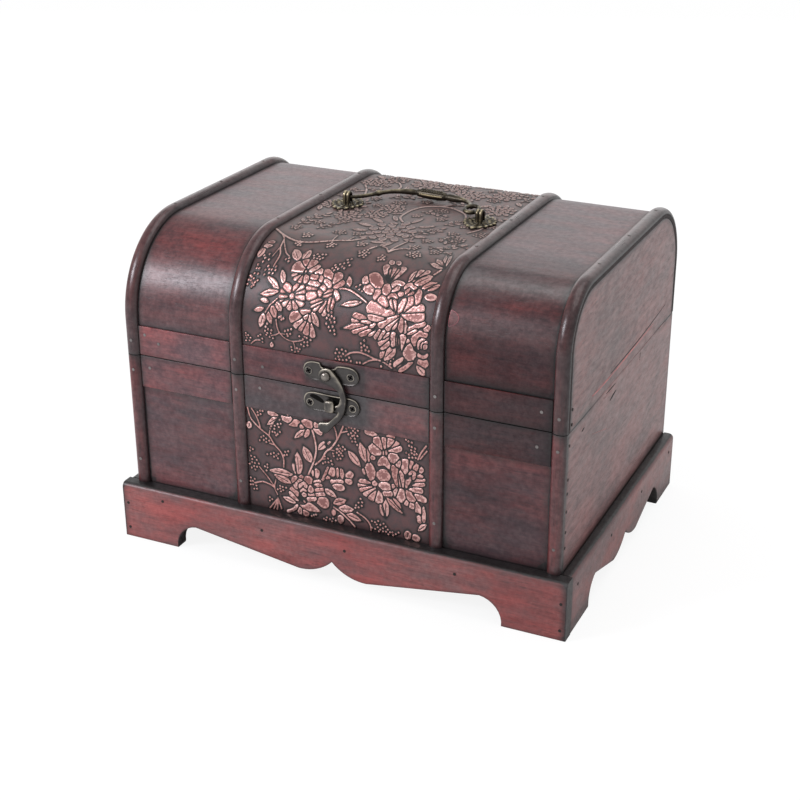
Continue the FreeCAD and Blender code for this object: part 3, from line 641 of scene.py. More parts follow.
def bay_look(x, z):
    """Edge, dark, red, stain and gloss of the front board, which shows in the two outer bays."""
    edge, dark, red, stain, gloss = 20.0 + 0 * x, 0 * x, 0 * x, 1.0 + 0 * x, 1.0 + 0 * x
    top, up = BOX_TOP - BOX_STRIP, z - PLINTH_TOP
    for x0, x1 in (BAYS["left"], BAYS["right"]):
        inside = (x > x0 - 3) & (x < x1 + 3)
        d = rounded_rect(x, z, x0 + 0.6, x1 - 0.6, PLINTH_TOP, top + BAY_ROUND, BAY_ROUND)
        edge = np.where(inside, np.maximum(-np.maximum(d, z - top), 0), edge)
        top_red = 0.75 * (near(top - z, 6.0) + 0.5 * near(x1 - x, 5.0)) + 0.1
        red = np.where(inside, top_red if x0 > 0 else 0.03 + 0.05 * near(up, 12.0), red)
        dark = np.where(inside, 0.2 * near(np.abs(x - 0.5 * (x0 + x1)), 30.0) + 0.08, dark)
        stain = np.where(inside, np.where(x > 0, 0.8, 1.0 + 0.35 * near(up, 22.0)), stain)
        gloss = np.where(inside, np.where(x > 0, 0.83, 1.0 + 0.3 * near(up, 25.0)), gloss)
    return edge, dark, red, stain, gloss


def worn_middle(y):
    """Where the black glaze is rubbed off along the seam: 1 in the middle of an end, 0 near its corners."""
    return np.clip((y + 60) / 25, 0, 1) * np.clip((70 - y) / 20, 0, 1)


def end_look(y, z):
    """Edge, dark, red, stain and gloss of the box's ends."""
    edge = np.minimum(np.minimum(z - PLINTH_TOP - 0.5, BOX_TOP - z + 0.2 + 4.0 * worn_middle(y)),
                      np.minimum(y - FRONT - 0.7, BACK - y))
    dark = 0.5 * near(z - PLINTH_TOP, 6.0) + 0.35 * near(y - FRONT, 5.0) + 0.06
    return edge, dark, 0.12 + 0.3 * near(z - PLINTH_TOP, 26.0), 1.8, 1.12


for node, axis in (("box_front", "x"), ("box_back", "x"), ("box_bottom", "x"), ("box_left_end", "y"),
                   ("box_right_end", "y"), ("lid_front_rail", "x"), ("lid_back_rail", "x")):
    low, high = node_box(node)
    points, faces = rounded_box(low, high, 0.5, 3.0)
    x, y, z = points.T
    mat, slot = inner_wood, "inner_wood"
    look = np.minimum(z - low[2], high[2] - z) + 0.6, 0.0, 0.0, 1.0, 1.0
    if node == "box_front":
        mat, slot, look = mahogany, "mahogany_wood", bay_look(x, z)
    elif node.endswith("_end"):
        mat, slot, look = end_wood, "mahogany_wood", end_look(y, z)
    edge, dark, red, stain, gloss = look
    wooden("look_" + node, points, faces, axis, edge, dark, red, node.split("_")[0], mat,
           stain=stain, gloss=gloss)

# Strips along the seam: red share, stain and gloss of each
STRIP_LOOK = {
    ("lid", "left"): (0.5, 1.35, 1.2), ("box", "left"): (0.34, 1.2, 1.05),
    ("lid", "middle"): (0.22, 0.9, 0.9), ("box", "middle"): (0.06, 0.9, 1.4),
    ("lid", "right"): (0.10, 0.48, 0.54), ("box", "right"): (0.06, 0.48, 0.6),
}
for body in ("box", "lid"):
    for bay in BAYS:
        node = "%s_strip_%s" % (body, bay)
        low, high = node_box(node)
        points, faces = rounded_box(low, high, 0.4, 2.5)
        x, y, z = points.T
        share, stain, gloss = STRIP_LOOK[body, bay]
        along = (x - low[0]) / (high[0] - low[0])
        red = share * (1.25 - 0.6 * along)
        dark = 0.3 * along * (bay != "left") + 0.35 * near(high[0] - x, 6.0)
        if node == "box_strip_middle":
            right_part = np.clip((along - 0.62) / 0.2, 0, 1)
            red, dark = 0.55 * right_part, 0.5 - 0.4 * right_part
        # Painted shadow of the latch plates: the middle strips are darkened in a band round each plate.
        if bay == "middle":
            beside = np.maximum(np.abs(x - LATCH_X) - LATCH_HALF[0], 0)
            above = np.maximum(np.abs(z - LATCH_Z[body]) - LATCH_HALF[1], 0)
            dark = dark + 0.85 * near(np.hypot(beside, above), 2.2)
        seam, outer = (high[2] - z, z - low[2]) if body == "box" else (z - low[2], high[2] - z)
        red = red + (0.25 if bay == "left" else 0.75) * near(outer, 0.6)
        edge = np.minimum(np.minimum(x - low[0], high[0] - x), seam + 0.45)
        wooden("look_" + node, points, faces, "x", edge, dark, red, body, stain=stain, gloss=gloss)

# The lid's skin and ends

def shell_faces(nu, nv):
    """Faces of a closed shell between two sheets of nu by nv points, the outer sheet first."""
    count = nu * nv
    faces = grid_faces(nu, nv) + [f[::-1] for f in grid_faces(nu, nv, count)]
    for i in range(nu - 1):
        for j in (0, nv - 1):
            q = [i * nv + j, (i + 1) * nv + j, count + (i + 1) * nv + j, count + i * nv + j]
            faces.append(q[::-1] if j == 0 else q)
    for j in range(nv - 1):
        for i in (0, nu - 1):
            q = [i * nv + j, i * nv + j + 1, count + i * nv + j + 1, count + i * nv + j]
            faces.append(q if i == 0 else q[::-1])
    return faces


xs = np.concatenate([np.linspace(-HALF, BAYS["middle"][0], 28), np.linspace(-52, 52, 14),
                     np.linspace(BAYS["middle"][1], HALF, 28)])
gx, gv = np.meshgrid(xs, along_lid((5, 6, 26, 24, 24, 8)), indexing="ij")
points = np.concatenate([lid_at(gx, gv, h).reshape(-1, 3) for h in (0.0, -SKIN)])
fx, fv = np.tile(gx.ravel(), 2), np.tile(gv.ravel(), 2)
edge = np.full(len(fx), 20.0)
for x0, x1 in (BAYS["left"], BAYS["right"]):
    side = np.maximum(0, np.minimum(fx - x0 - 0.4, x1 - 0.4 - fx))
    in_bay = (fx > x0 - 6) & (fx < x1 + 6)
    edge = np.where(in_bay, np.minimum(side, np.maximum(fv - LID_STRIP - 0.3, 0)), edge)
edge[gx.size:] = 20.0
dark = 0.3 * near(edge, 6.0) + 0.15 * near(np.abs(fv - LID_STRIP), 12.0)
left_red = 0.62 * hump(fv, KNOTS[2] + 42, 20.0) + 0.45 * hump(fv, 41, 8.0)
right_red = (0.75 * hump(fv, 44, 22.0) * near(fx - BAYS["right"][0], 40.0)
             + 0.35 * near(np.abs(fx - BAYS["right"][1]), 6.0)
             + 0.7 * hump(fv, 61, 8.0) * np.clip((fx - 86) / 18, 0, 1))
red = np.where(fx < 0, left_red, right_red)
red[gx.size:] = 0.1
left_stain = np.interp(fv, (100, 125), (0.85, 1.1))
right_stain = np.interp(fv, (30, 95, 130), (0.5, 0.6, 1.0))
left_gloss = 1.15 - 0.34 * hump(fv, KNOTS[2] + 42, 18.0) - 0.25 * hump(fv, 100, 6.0)
right_gloss = np.interp(fv, (30, 36, 44, 50, 62, 68, 76, 82, 90, 100, 116, 128),
                        (0.5, 0.65, 1.1, 0.8, 0.5, 1.0, 2.15, 1.9, 0.9, 0.6, 0.85, 1.05))
# Painted shadow: the skin's rim at the right end gets a near-black stain and little gloss, for the shadow gap
# along the outer band beside the end.
end_rim_shadow = fx > HALF - 0.5
wooden("look_lid_skin", points, shell_faces(*gx.shape), "x", edge, dark, red, "lid", sharp=40,
       stain=np.where(end_rim_shadow, 0.2, np.where(fx < 0, left_stain, right_stain)),
       gloss=np.where(end_rim_shadow, 0.1, np.where(fx < 0, left_gloss, right_gloss)))

# A rubbed half-round mark in the finish, beside the right inner band: rows of size, height, stain and red
SCUFF = [(67.0, 54.6), (68.9, 54.8), (71.2, 53.2), (72.6, 50.4), (71.6, 47.4), (69.4, 45.6), (67.0, 45.4)]
SCUFF_ROWS = [(1.0, 0.02, 1.6, 0.5), (0.93, 0.05, 3.0, 0.3), (0.84, 0.05, 0.8, 0.8), (0.5, 0.05, 0.7, 0.9),
              (0.05, 0.05, 0.7, 0.9)]
loop = curve(SCUFF, 36, closed=True)
middle = loop.mean(0)
points = np.concatenate([lid_at(*(middle + (loop - middle) * size).T, h) for size, h, _, _ in SCUFF_ROWS])
stain, red = (np.repeat([row[k] for row in SCUFF_ROWS], len(loop)) for k in (2, 3))
add("look_lid_scuff", points, grid_faces(len(SCUFF_ROWS), len(loop), around=True), mahogany, "lid", [],
    wood_attrs(points, "x", 20.0, 0.0, red, stain))

for side, tag in SIDES:
    rf, rb = (float(r) - SKIN for r in shoulders(side * END_FACE))
    y0, y1, top = FRONT + SKIN + SKIN_GAP, BACK - SKIN - SKIN_GAP, LID_TOP - SKIN - SKIN_GAP
    ang = np.linspace(0, math.pi / 2, 17)
    flat = np.linspace(y0 + rf, y1 - rb, 24)[1:-1]
    ys = np.concatenate([y0 + rf * (1 - np.cos(ang)), flat, y1 - rb + rb * np.sin(ang)])
    zs = np.concatenate([top - rf + rf * np.sin(ang), np.full(len(flat), top), top - rb + rb * np.cos(ang)])
    rows = np.linspace(0, 1, 25)
    yy, zz = np.repeat(ys, len(rows)), (END_LOW + np.outer(zs - END_LOW, rows)).ravel()
    points = np.concatenate([np.stack([np.full_like(yy, side * x), yy, zz], -1)
                             for x in (END_FACE, END_INNER)])
    faces = shell_faces(len(ys), len(rows))
    if side < 0:
        faces = [f[::-1] for f in faces]
    x, y, z = points.T
    top_z = np.tile(np.repeat(zs, len(rows)), 2)
    rim = np.minimum(np.minimum(y - y0 - 0.7, y1 - y),
                     np.minimum(top_z - z, z - END_LOW + 0.2 + 4.0 * worn_middle(y)))
    wooden("look_lid_%s_end" % tag, points, faces, "y", rim, 0.3 * near(rim, 6.0) + 0.05, 0.12, "lid",
           end_wood, sharp=40, stain=1.7)

# Half-round bands on the box and over the lid
ANGLES = np.linspace(0, math.pi, 17)


def band(name, body, place, lengths, stain, gloss, red_share=1.0):
    """A half-round band: place puts a point (across, along, up) in the frame."""
    half, rings = BAND_WIDTH / 2, []
    for v in lengths:
        ring = [place(-half * math.cos(a), v, BAND_HEIGHT * math.sin(a) ** 0.85) for a in ANGLES]
        rings.append(ring + [place(half, v, -BAND_SINK), place(-half, v, -BAND_SINK)])
    points, faces = loft(rings)
    fold, left, across = (np.tile(np.concatenate([row, [0, 0]]), len(lengths))
                          for row in (np.sin(ANGLES), np.cos(ANGLES), ANGLES))
    run = np.repeat(lengths, len(ANGLES) + 2)
    ends = np.minimum(run - lengths[0], lengths[-1] - run)
    coords = np.stack([run * 0.001, across * 0.0035, 0 * run], -1) + rng.uniform(0.5, 9.5, 3)
    # Red where the finish is rubbed on the flanks, stronger on the left half as painted light; the right half
    # is darker, painted shade on the flank away from the key light.
    attrs = {"grain": coords, "edge": np.minimum(4.5 * fold, ends + 0.3),
             "dark": 0.2 + 0.3 * near(ends, 6.0) + 0.3 * np.maximum(-left, 0),
             "red": 0.4 * hump(fold, 0.75, 0.25) * (1 + 0.9 * left) * red_share,
             "stain": stain + 0 * run, "gloss": gloss + 0 * run}
    add("look_" + name, points, faces, band_wood, body, [name], attrs, 50)


box_lengths = np.concatenate([[PLINTH_TOP, PLINTH_TOP + 0.4], np.linspace(PLINTH_TOP + 2, BOX_TOP - 2, 24),
                              [BOX_TOP - 0.4, BOX_TOP]])
for tag, x in BANDS.items():
    gloss, red_share = (0.72, 1.5) if tag == "left_outer" else (1.0, 1.0)
    band("box_band_" + tag, "box", lambda u, v, h: (x + u, FRONT - h, v), box_lengths, 1.0, gloss, red_share)
    band("lid_band_" + tag, "lid", lambda u, v, h: lid_at(x + u, v, h), along_lid((6, 6, 34, 30, 30, 8)),
         0.8 if x < 0 else 0.6, 0.9)

# Embossed panels: every motif is a raised patch with a dark collar, drawn on the unrolled panel

class Relief:
    """Raised motifs on a panel, kept as a distance to the nearest outline on a fine grid, positive inside."""

    def __init__(self, us, vs):
        self.us, self.vs = us, vs
        self.u, self.v = np.meshgrid(us, vs, indexing="ij")
        self.best = np.full(self.u.shape, -3.0)
        self.next = np.full(self.u.shape, -3.0)
        self.lines = np.full(self.u.shape, -3.0)
        self.beads = np.full(self.u.shape, -3.0)
        self.cuts = np.full(self.u.shape, 9.0)
        self.tone = np.zeros(self.u.shape)

    def window(self, low, high, margin=2.6):
        """The part of the grid round a motif, as two slices."""
        i = np.searchsorted(self.us, (low[0] - margin, high[0] + margin))
        j = np.searchsorted(self.vs, (low[1] - margin, high[1] + margin))
        return slice(*i), slice(*j)

    def discs(self, centres, radii):
        """Distance field of a row of discs, in the window round them."""
        at = self.window(centres.min(0) - radii.max(), centres.max(0) + radii.max())
        u, v = self.u[at], self.v[at]
        field = np.full(u.shape, -9.0)
        for (x, y), r in zip(centres, radii):
            np.maximum(field, r - np.hypot(u - x, v - y), out=field)
        return at, field

    def join(self, at, field):
        """Lay a motif among the others, and keep the second nearest for the groove between them."""
        best, second, tone = self.best[at], self.next[at], self.tone[at]
        wins = field > best
        second[...] = np.where(wins, best, np.maximum(second, field))
        best[...] = np.where(wins, field, best)
        tone[...] = np.where(wins, rng.random(), tone)

    def ribbon(self, spine, width, form="petal"):
        """A raised strip along a spine: its width follows the form."""
        pointed = form in ("leaf", "split")
        if pointed:
            spine = np.array(spine, float)
            reach = spine[-1] - spine[0]
            spine[0] -= 0.05 * reach
            spine[-1] += 0.13 * reach
        line = curve(spine, 60)
        length = np.linalg.norm(np.diff(line, axis=0), axis=1).sum()
        half = width / 2
        ends = {"petal": (0.1 * half, 0.9 * half), "strip": (half, half)}.get(form, (0.0, 0.0))
        low, high = ends[0] / length, 1 - ends[1] / length
        t = np.linspace(0, 1, max(8, int(length / 0.4)))
        place = np.clip(low + (high - low) * t, 0, 1)
        grid = np.linspace(0, 1, 60)
        centres = np.stack([np.interp(place, grid, line[:, k]) for k in (0, 1)], -1)
        if form == "petal":
            radii = half * (0.26 + 0.74 * np.sin(np.minimum(t / 0.8, 1) * math.pi / 2))
        elif pointed:
            radii = 1.1 * half * np.sin(math.pi * np.clip(t, 0.01, 0.99) ** 0.9) ** 1.3
        else:
            radii = np.full(len(t), half)
        at, field = self.discs(centres, radii)
        if form == "vine":
            np.maximum(self.lines[at], field, out=self.lines[at])
        else:
            self.join(at, field)
        if form == "split" or (pointed and width > 2.9):
            middle = (t > 0.16) & (t < 0.74)
            at, field = self.discs(centres[middle], np.full(middle.sum(), 0.12))
            np.minimum(self.cuts[at], -field, out=self.cuts[at])

    def blob(self, outline):
        """A raised island inside a closed outline."""
        p = curve(outline, 40, closed=True)
        at = self.window(p.min(0), p.max(0))
        u, v = self.u[at], self.v[at]
        inside = np.zeros(u.shape, bool)
        gap = np.full(u.shape, 9.0)
        for (x0, v0), (x1, v1) in zip(p, np.roll(p, -1, 0)):
            cross = (v0 > v) != (v1 > v)
            side = u < x0 + (x1 - x0) * (v - v0) / (v1 - v0 if v1 != v0 else 1e-9)
            inside ^= cross & side
            du, dv = x1 - x0, v1 - v0
            t = np.clip(((u - x0) * du + (v - v0) * dv) / (du ** 2 + dv ** 2), 0, 1)
            np.minimum(gap, np.hypot(u - x0 - t * du, v - v0 - t * dv), out=gap)
        self.join(at, np.where(inside, gap, -gap))

    def oval(self, x, v, rx, rv):
        a = circle(12)
        self.blob(np.stack([x + rx * np.cos(a), v + rv * np.sin(a)], -1))

    def dots(self, places, r=0.82):
        for place in places:
            at, field = self.discs(np.array([place], float), np.array([r]))
            np.maximum(self.beads[at], field, out=self.beads[at])

    def petals(self, rows, form="petal", wide=1.55):
        for x0, v0, x1, v1, w in rows:
            self.ribbon([(x0, v0), (x1, v1)], wide * w, form)

    def strips(self, rows, form="strip", wide=1.25):
        for line, w in rows:
            self.ribbon(line, wide * w, form)

    def draw(self, petals, leaves, splits, strips, vines, dots, ovals):
        """The listed motifs placed on one face."""
        self.petals(petals)
        self.petals(leaves, "leaf", 1.2)
        self.petals(splits, "split", 1.25)
        self.strips(strips)
        self.strips(vines, "vine", 1.1)
        self.dots(dots)
        for x, v, rx, rv in ovals:
            self.oval(x, v, 1.12 * rx, 1.12 * rv)

    def bunch(self, x, v, n, reach):
        """A bunch of berries set in a spiral."""
        for k in range(n):
            a, d = 2.4 * k, reach * math.sqrt((k + 0.3) / n)
            self.dots([(x + d * math.cos(a), v + d * math.sin(a))])

    def peony(self, x, v, rx, rv, start=0.0):
        """A full flower: three rings of petals about a small heart."""
        for low, high, count, width, turn in ((0.13, 0.42, 5, 0.34, 0.0), (0.40, 0.74, 8, 0.34, 0.3),
                                              (0.70, 1.04, 11, 0.36, 0.1)):
            for k in range(count):
                a = start + turn + TURN * k / count
                c, s = rx * math.cos(a), rv * math.sin(a)
                reach = high + 0.07 * math.sin(3.7 * k + start)
                self.ribbon([(x + low * c, v + low * s), (x + reach * c, v + reach * s)], width * rx)
        self.oval(x, v, 0.11 * rx, 0.11 * rv)

    def sprig(self, line, count, size):
        """A stem with leaves to both sides and one at its tip."""
        self.ribbon(line, 1.1, "vine")
        p = curve(line, 40)
        for k in range(count):
            i = int(4 + 34 * k / max(count - 1, 1))
            d = p[min(i + 1, 39)] - p[i - 1]
            a = math.atan2(d[1], d[0]) + (0.9 if k % 2 else -0.9) * (k < count - 1)
            out = np.array([math.cos(a), math.sin(a)])
            self.ribbon([p[i] + 0.6 * out, p[i] + size * out], 0.4 * size, "split" if k % 3 == 0 else "leaf")

    def finish(self, name, at, rub, body, node):
        """The panel's mesh, with dark grooves between the motifs: at places a point on the panel."""
        gap = -(self.best + self.next)
        grown = self.best + 0.5 * np.clip((1.7 - gap) / 0.8, 0, 1)
        d = np.minimum(grown, np.maximum(0.75 * (self.best - self.next) - 0.42, -0.42))
        d = np.where(grown > -0.3, d, self.best)
        other = np.maximum(self.lines, self.beads)
        apart = np.maximum(0.75 * np.abs(d - other) - 0.34, -0.34)
        top = np.maximum(d, other)
        d = np.where(top > -0.3, np.minimum(top, apart), top)
        d = np.where(d > 0, np.minimum(d, self.cuts), d)
        rise = np.interp(d, (-0.75, -0.3, -0.1, 0.35, 0.8, 1.6), (0.0, -0.05, 0.0, 0.9, 1.0, 0.8))
        edge = np.minimum(np.minimum(self.u - self.us[0], self.us[-1] - self.u),
                          np.minimum(self.v - self.vs[0], self.vs[-1] - self.v))
        points = at(self.u, self.v, GROUND + (CREST - GROUND) * rise)
        add(name, points, grid_faces(*self.u.shape), embossed, body, [node],
            {"inside": d.ravel(), "tone": self.tone.ravel(), "rub": (rub + 0 * d).ravel(),
             "rim": near(edge, 2.4).ravel()})


def flip(rows, turn):
    """The same drawing seen from behind: places (x, v) become (-x, turn - v)."""
    out = []
    for row in rows:
        if len(row) == 5:
            x0, v0, x1, v1, w = row
            out.append((-x0, turn - v0, -x1, turn - v1, w))
        elif isinstance(row[0], list):
            out.append(([(-x, turn - v) for x, v in row[0]], row[1]))
        else:
            out.append((-row[0], turn - row[1], *row[2:]))
    return out


# Front of the lid, in millimetres from the panel's middle and from the strip's upper edge
LID_PETALS = [
    (-29, 35.4, -34, 39, 3.4), (-29.8, 34.2, -35.6, 36.2, 1.9), (-29.8, 32.8, -35.6, 32, 2.2),
    (-29.5, 31.8, -35, 30.3, 1.6), (-28.9, 31.2, -32.8, 28.4, 2.1), (-27.9, 31, -28.2, 26, 2.1),
    (-26.6, 31.2, -23.4, 27, 2.3), (-25.6, 31.8, -19.4, 29.8, 2.6), (-25.4, 33.2, -19, 33, 3.3),
    (-25.8, 34.8, -19.6, 36.6, 2.4), (-26.6, 35.6, -21.4, 39.2, 2.0), (-27.6, 36, -25.2, 40, 2.2),
    (-25.2, 48.4, -32.2, 49.6, 5.2), (-24.6, 50, -26.4, 55, 3.2), (-22.8, 50, -19, 54.8, 4.0),
    (-22, 48.6, -15.8, 51.6, 3.2), (-25.4, 46.8, -31, 44.6, 2.5), (-25, 45.8, -29.2, 42.2, 2.1),
    (-24, 45.2, -25.2, 41, 1.9), (-22.8, 45.4, -20.6, 41.4, 2.5), (-14, 45, -19.4, 45, 2.6),
    (-11, 41.2, -19.6, 41.8, 2.4), (-13, 38.6, -20, 38.6, 2.2), (-12, 35.6, -19.4, 34.8, 3.6),
    (-12, 42.6, -13, 47, 2.2), (-5.7, 45, -12.3, 49.8, 3.6), (-5.3, 40.4, -10.2, 45.8, 2.6),
    (-7.7, 37.8, -11.4, 41.4, 2.4), (-9.4, 35.6, -12.2, 38.4, 2.6), (-4, 43.2, -2, 49.8, 3.6),
    (-3.6, 40.4, 1.8, 44.8, 2.6), (-2.4, 39.6, 1, 34.2, 2.4), (-9.8, 36, -3.4, 39.6, 1.6),
    (-9.4, 34.9, -3.2, 37.4, 1.5), (-8.7, 33.8, -15.4, 30.9, 1.8), (-7.7, 32.8, -14.8, 29, 1.8),
    (-6.8, 31.8, -13.4, 27.4, 1.6), (-5.7, 33.2, -9, 26.6, 2.3), (-5.2, 31.6, -6.7, 24.9, 2.0),
    (-3.6, 36, -4.6, 27.4, 2.0), (-1.7, 36.2, -2.6, 28.8, 1.8), (-20.6, 24, -27.2, 21.3, 4.2),
    (-14.4, 27, -21.2, 25.4, 1.8), (-18.2, 21.8, -24.6, 18, 3.2), (-16.9, 21.4, -21.2, 16, 2.6),
    (-15.6, 20.4, -17, 13.6, 2.9), (-13.7, 19.8, -12.3, 12.2, 2.4), (-15.6, 25, -18.4, 21.8, 1.6),
    (-14.9, 25, -14.3, 20.9, 1.4), (16.4, 44, 12.8, 49.8, 3.0), (24.4, 44.8, 15.6, 51.8, 5.0),
    (20.2, 40.2, 14.2, 45.2, 3.8), (28, 48.4, 21.6, 59.6, 2.6), (27.6, 48.6, 24.8, 57.4, 2.4),
    (27.9, 49.4, 28.2, 58.4, 2.4), (28.4, 49.4, 31, 58.2, 2.2), (28.8, 48.8, 33.6, 60, 2.4),
    (25.6, 60.6, 23, 63.4, 2.0), (29.6, 60.8, 27.4, 63.8, 2.0), (41, 53, 44.2, 60, 2.0),
    (43, 53.4, 48.2, 60.2, 1.8), (31, 43, 35, 46, 1.6), (39.4, 42.6, 40.4, 46.6, 1.4),
    (41, 42, 46, 45.2, 1.6), (28.7, 40.3, 27, 46.9, 3.4), (22.6, 35.8, 23.4, 43.2, 2.6),
    (47.6, 36.6, 46, 46.2, 3.2), (35.2, 31, 18.6, 33.2, 5.2), (31, 26.8, 20.2, 27.9, 2.8),
    (31.8, 31.6, 24.6, 39.2, 4.2), (35, 32, 31.2, 38.6, 2.0), (36, 32.2, 33.4, 39, 1.8),
    (38, 31.6, 40.8, 40, 3.0), (41, 32.2, 44.4, 42, 3.2), (41.4, 31.8, 52.2, 36.2, 3.6),
    (40.4, 30.3, 53.2, 30.8, 4.2), (38.3, 29.8, 27.2, 22.8, 2.5), (38.7, 28.6, 31.6, 21.2, 2.1),
    (38.8, 27.4, 35.4, 21.9, 1.5), (40, 29.2, 41.2, 20.6, 2.6), (42.4, 27.6, 43.2, 20.2, 1.8),
    (19.8, 26.2, 11.2, 27.4, 2.6), (15.8, 24.3, 10.6, 24.8, 1.6), (23, 24, 16.2, 24.8, 1.6),
    (21, 21.8, 11.6, 17.9, 1.9), (24.8, 20.4, 15.9, 16.6, 2.0), (25.4, 23.8, 22, 21.8, 1.4),
    (26, 20.2, 21.2, 16.9, 1.6), (28.3, 20.8, 25.6, 15.2, 2.0), (31.3, 20.8, 27.2, 14.6, 2.0),
    (34, 19.8, 29.8, 14.8, 1.6), (34, 17.2, 27.6, 12.2, 2.0), (35, 15, 29.2, 9.6, 2.0),
    (32, 10.4, 28.9, 5.6, 2.4), (35.8, 10, 36.7, 20.1, 2.3), (39, 12, 38, 19, 1.2),
    (40.2, 11.2, 39.4, 17.6, 1.3), (41.6, 10.6, 42, 19.4, 2.6), (42.8, 11.2, 45.8, 16.8, 1.8),
    (44, 20, 50, 23, 1.9), (54, 22.2, 57, 26.2, 2.2), (46, 13.6, 45.8, 6.8, 5.2),
    (42.2, 7.4, 36.6, 2.6, 2.0), (44, 5, 38, 2, 1.4), (47.8, 5.8, 39.2, 0.9, 2.0),
]
LID_LEAVES = [
    (-13.7, 26.4, -9, 19, 3.0), (-34.3, 39.3, -37.8, 46.6, 2.7), (-36.6, 36.3, -45.4, 42, 3.0),
    (-40.6, 36.4, -44.4, 39.4, 1.2), (-36.3, 35, -47.2, 32.7, 2.9), (-41, 29, -47.2, 30, 1.9),
    (-43.7, 25.7, -50.2, 24, 2.2), (-43.7, 22.8, -45.8, 15.8, 3.2), (-41.3, 24, -38.6, 17.8, 2.4),
    (-39.3, 27.3, -36, 21.5, 3.0), (-36.7, 29.3, -32.8, 25.2, 2.6), (-27.6, 54.6, -26.3, 61.2, 3.4),
    (-56, 52, -54.6, 57.6, 3.2), (-56, 59.4, -51, 60.2, 2.4), (-54.6, 62.4, -50.6, 63.2, 2.2),
    (-39, 1.4, -38.6, 5.8, 2.0), (6, 42.2, 3.6, 48.4, 2.4), (39, 50.6, 40.8, 58.2, 2.6),
    (50.2, 4.4, 54.8, 0.9, 3.0), (19.4, 22.8, 6.2, 19.6, 2.4),
]
LID_SPLITS = [
    (-30.7, 54, -35.8, 59.9, 4.0), (15.8, 35, 3.2, 31.9, 2.6), (42.4, 49, 50.8, 56.4, 4.4),
    (48, 47.6, 54.8, 52.2, 3.2), (50.6, 47, 57, 51, 3.0), (37.4, 11.4, 30.2, 5.2, 4.2),
]
LID_STRIPS = [
    ([(-18, 46.9), (-15, 49.4), (-11.8, 47)], 2.2), ([(41.3, 50.7), (47.4, 56.4)], 1.3),
    ([(30.3, 45.2), (31.6, 48.2), (34, 49), (37.3, 48)], 2.3),
    ([(38, 45.6), (40.4, 48.6), (44.8, 46.4)], 1.9),
    ([(30.4, 37.6), (30.6, 40.4), (33, 41), (35.6, 38.8)], 1.8),
    ([(44, 21.8), (48.6, 24.7), (54.8, 27.4)], 2.2),
    ([(48.8, 10.6), (48.2, 16.6), (51.2, 20.8), (56.4, 20.4)], 2.7),
    ([(50.8, 12), (51.8, 16), (55, 18.2)], 1.4), ([(52.6, 12.4), (53.4, 15.8), (56.6, 16.4)], 1.2),
    ([(50.4, 9.8), (54, 8.9), (57, 10.4)], 1.3), ([(50.4, 6.8), (54, 5.6), (57, 6.8)], 2.6),
]
LID_VINES = [
    ([(-36.2, 31.4), (-40.3, 27.4), (-43, 23.4)], 1.0),
    ([(-35.7, 20.4), (-35, 16.7), (-33.4, 13.3), (-30, 9.8), (-25.2, 8.3), (-19.2, 9.8)], 1.0),
    ([(-33.6, 13.4), (-36, 11.6), (-38.8, 10.7)], 1.0), ([(-33, 13), (-30.2, 12.7)], 0.9),
    ([(-25.2, 8.3), (-24.2, 5.6), (-24, 3.2)], 0.9), ([(-52, 2.2), (-49.4, 5.2), (-46.2, 6)], 1.1),
    ([(-46.4, 66), (-45.4, 60), (-43.2, 55), (-44, 48)], 1.1), ([(-45.6, 60), (-47.4, 53.2)], 0.9),
    ([(-46.4, 66), (-43, 61), (-40.2, 57.2), (-37.2, 55.2)], 1.0),
    ([(0, 40.8), (5.3, 40.8), (11.3, 38.7), (18.7, 34.7)], 1.2),
    ([(7.3, 4), (10.7, 6.1), (16, 7), (21.3, 6), (25.3, 4.7), (30, 4), (35.3, 1.6)], 1.1),
    ([(18, 1.2), (22, 3.4), (25.6, 4.4)], 1.0), ([(51.3, 57.4), (53.8, 62)], 1.4),
]
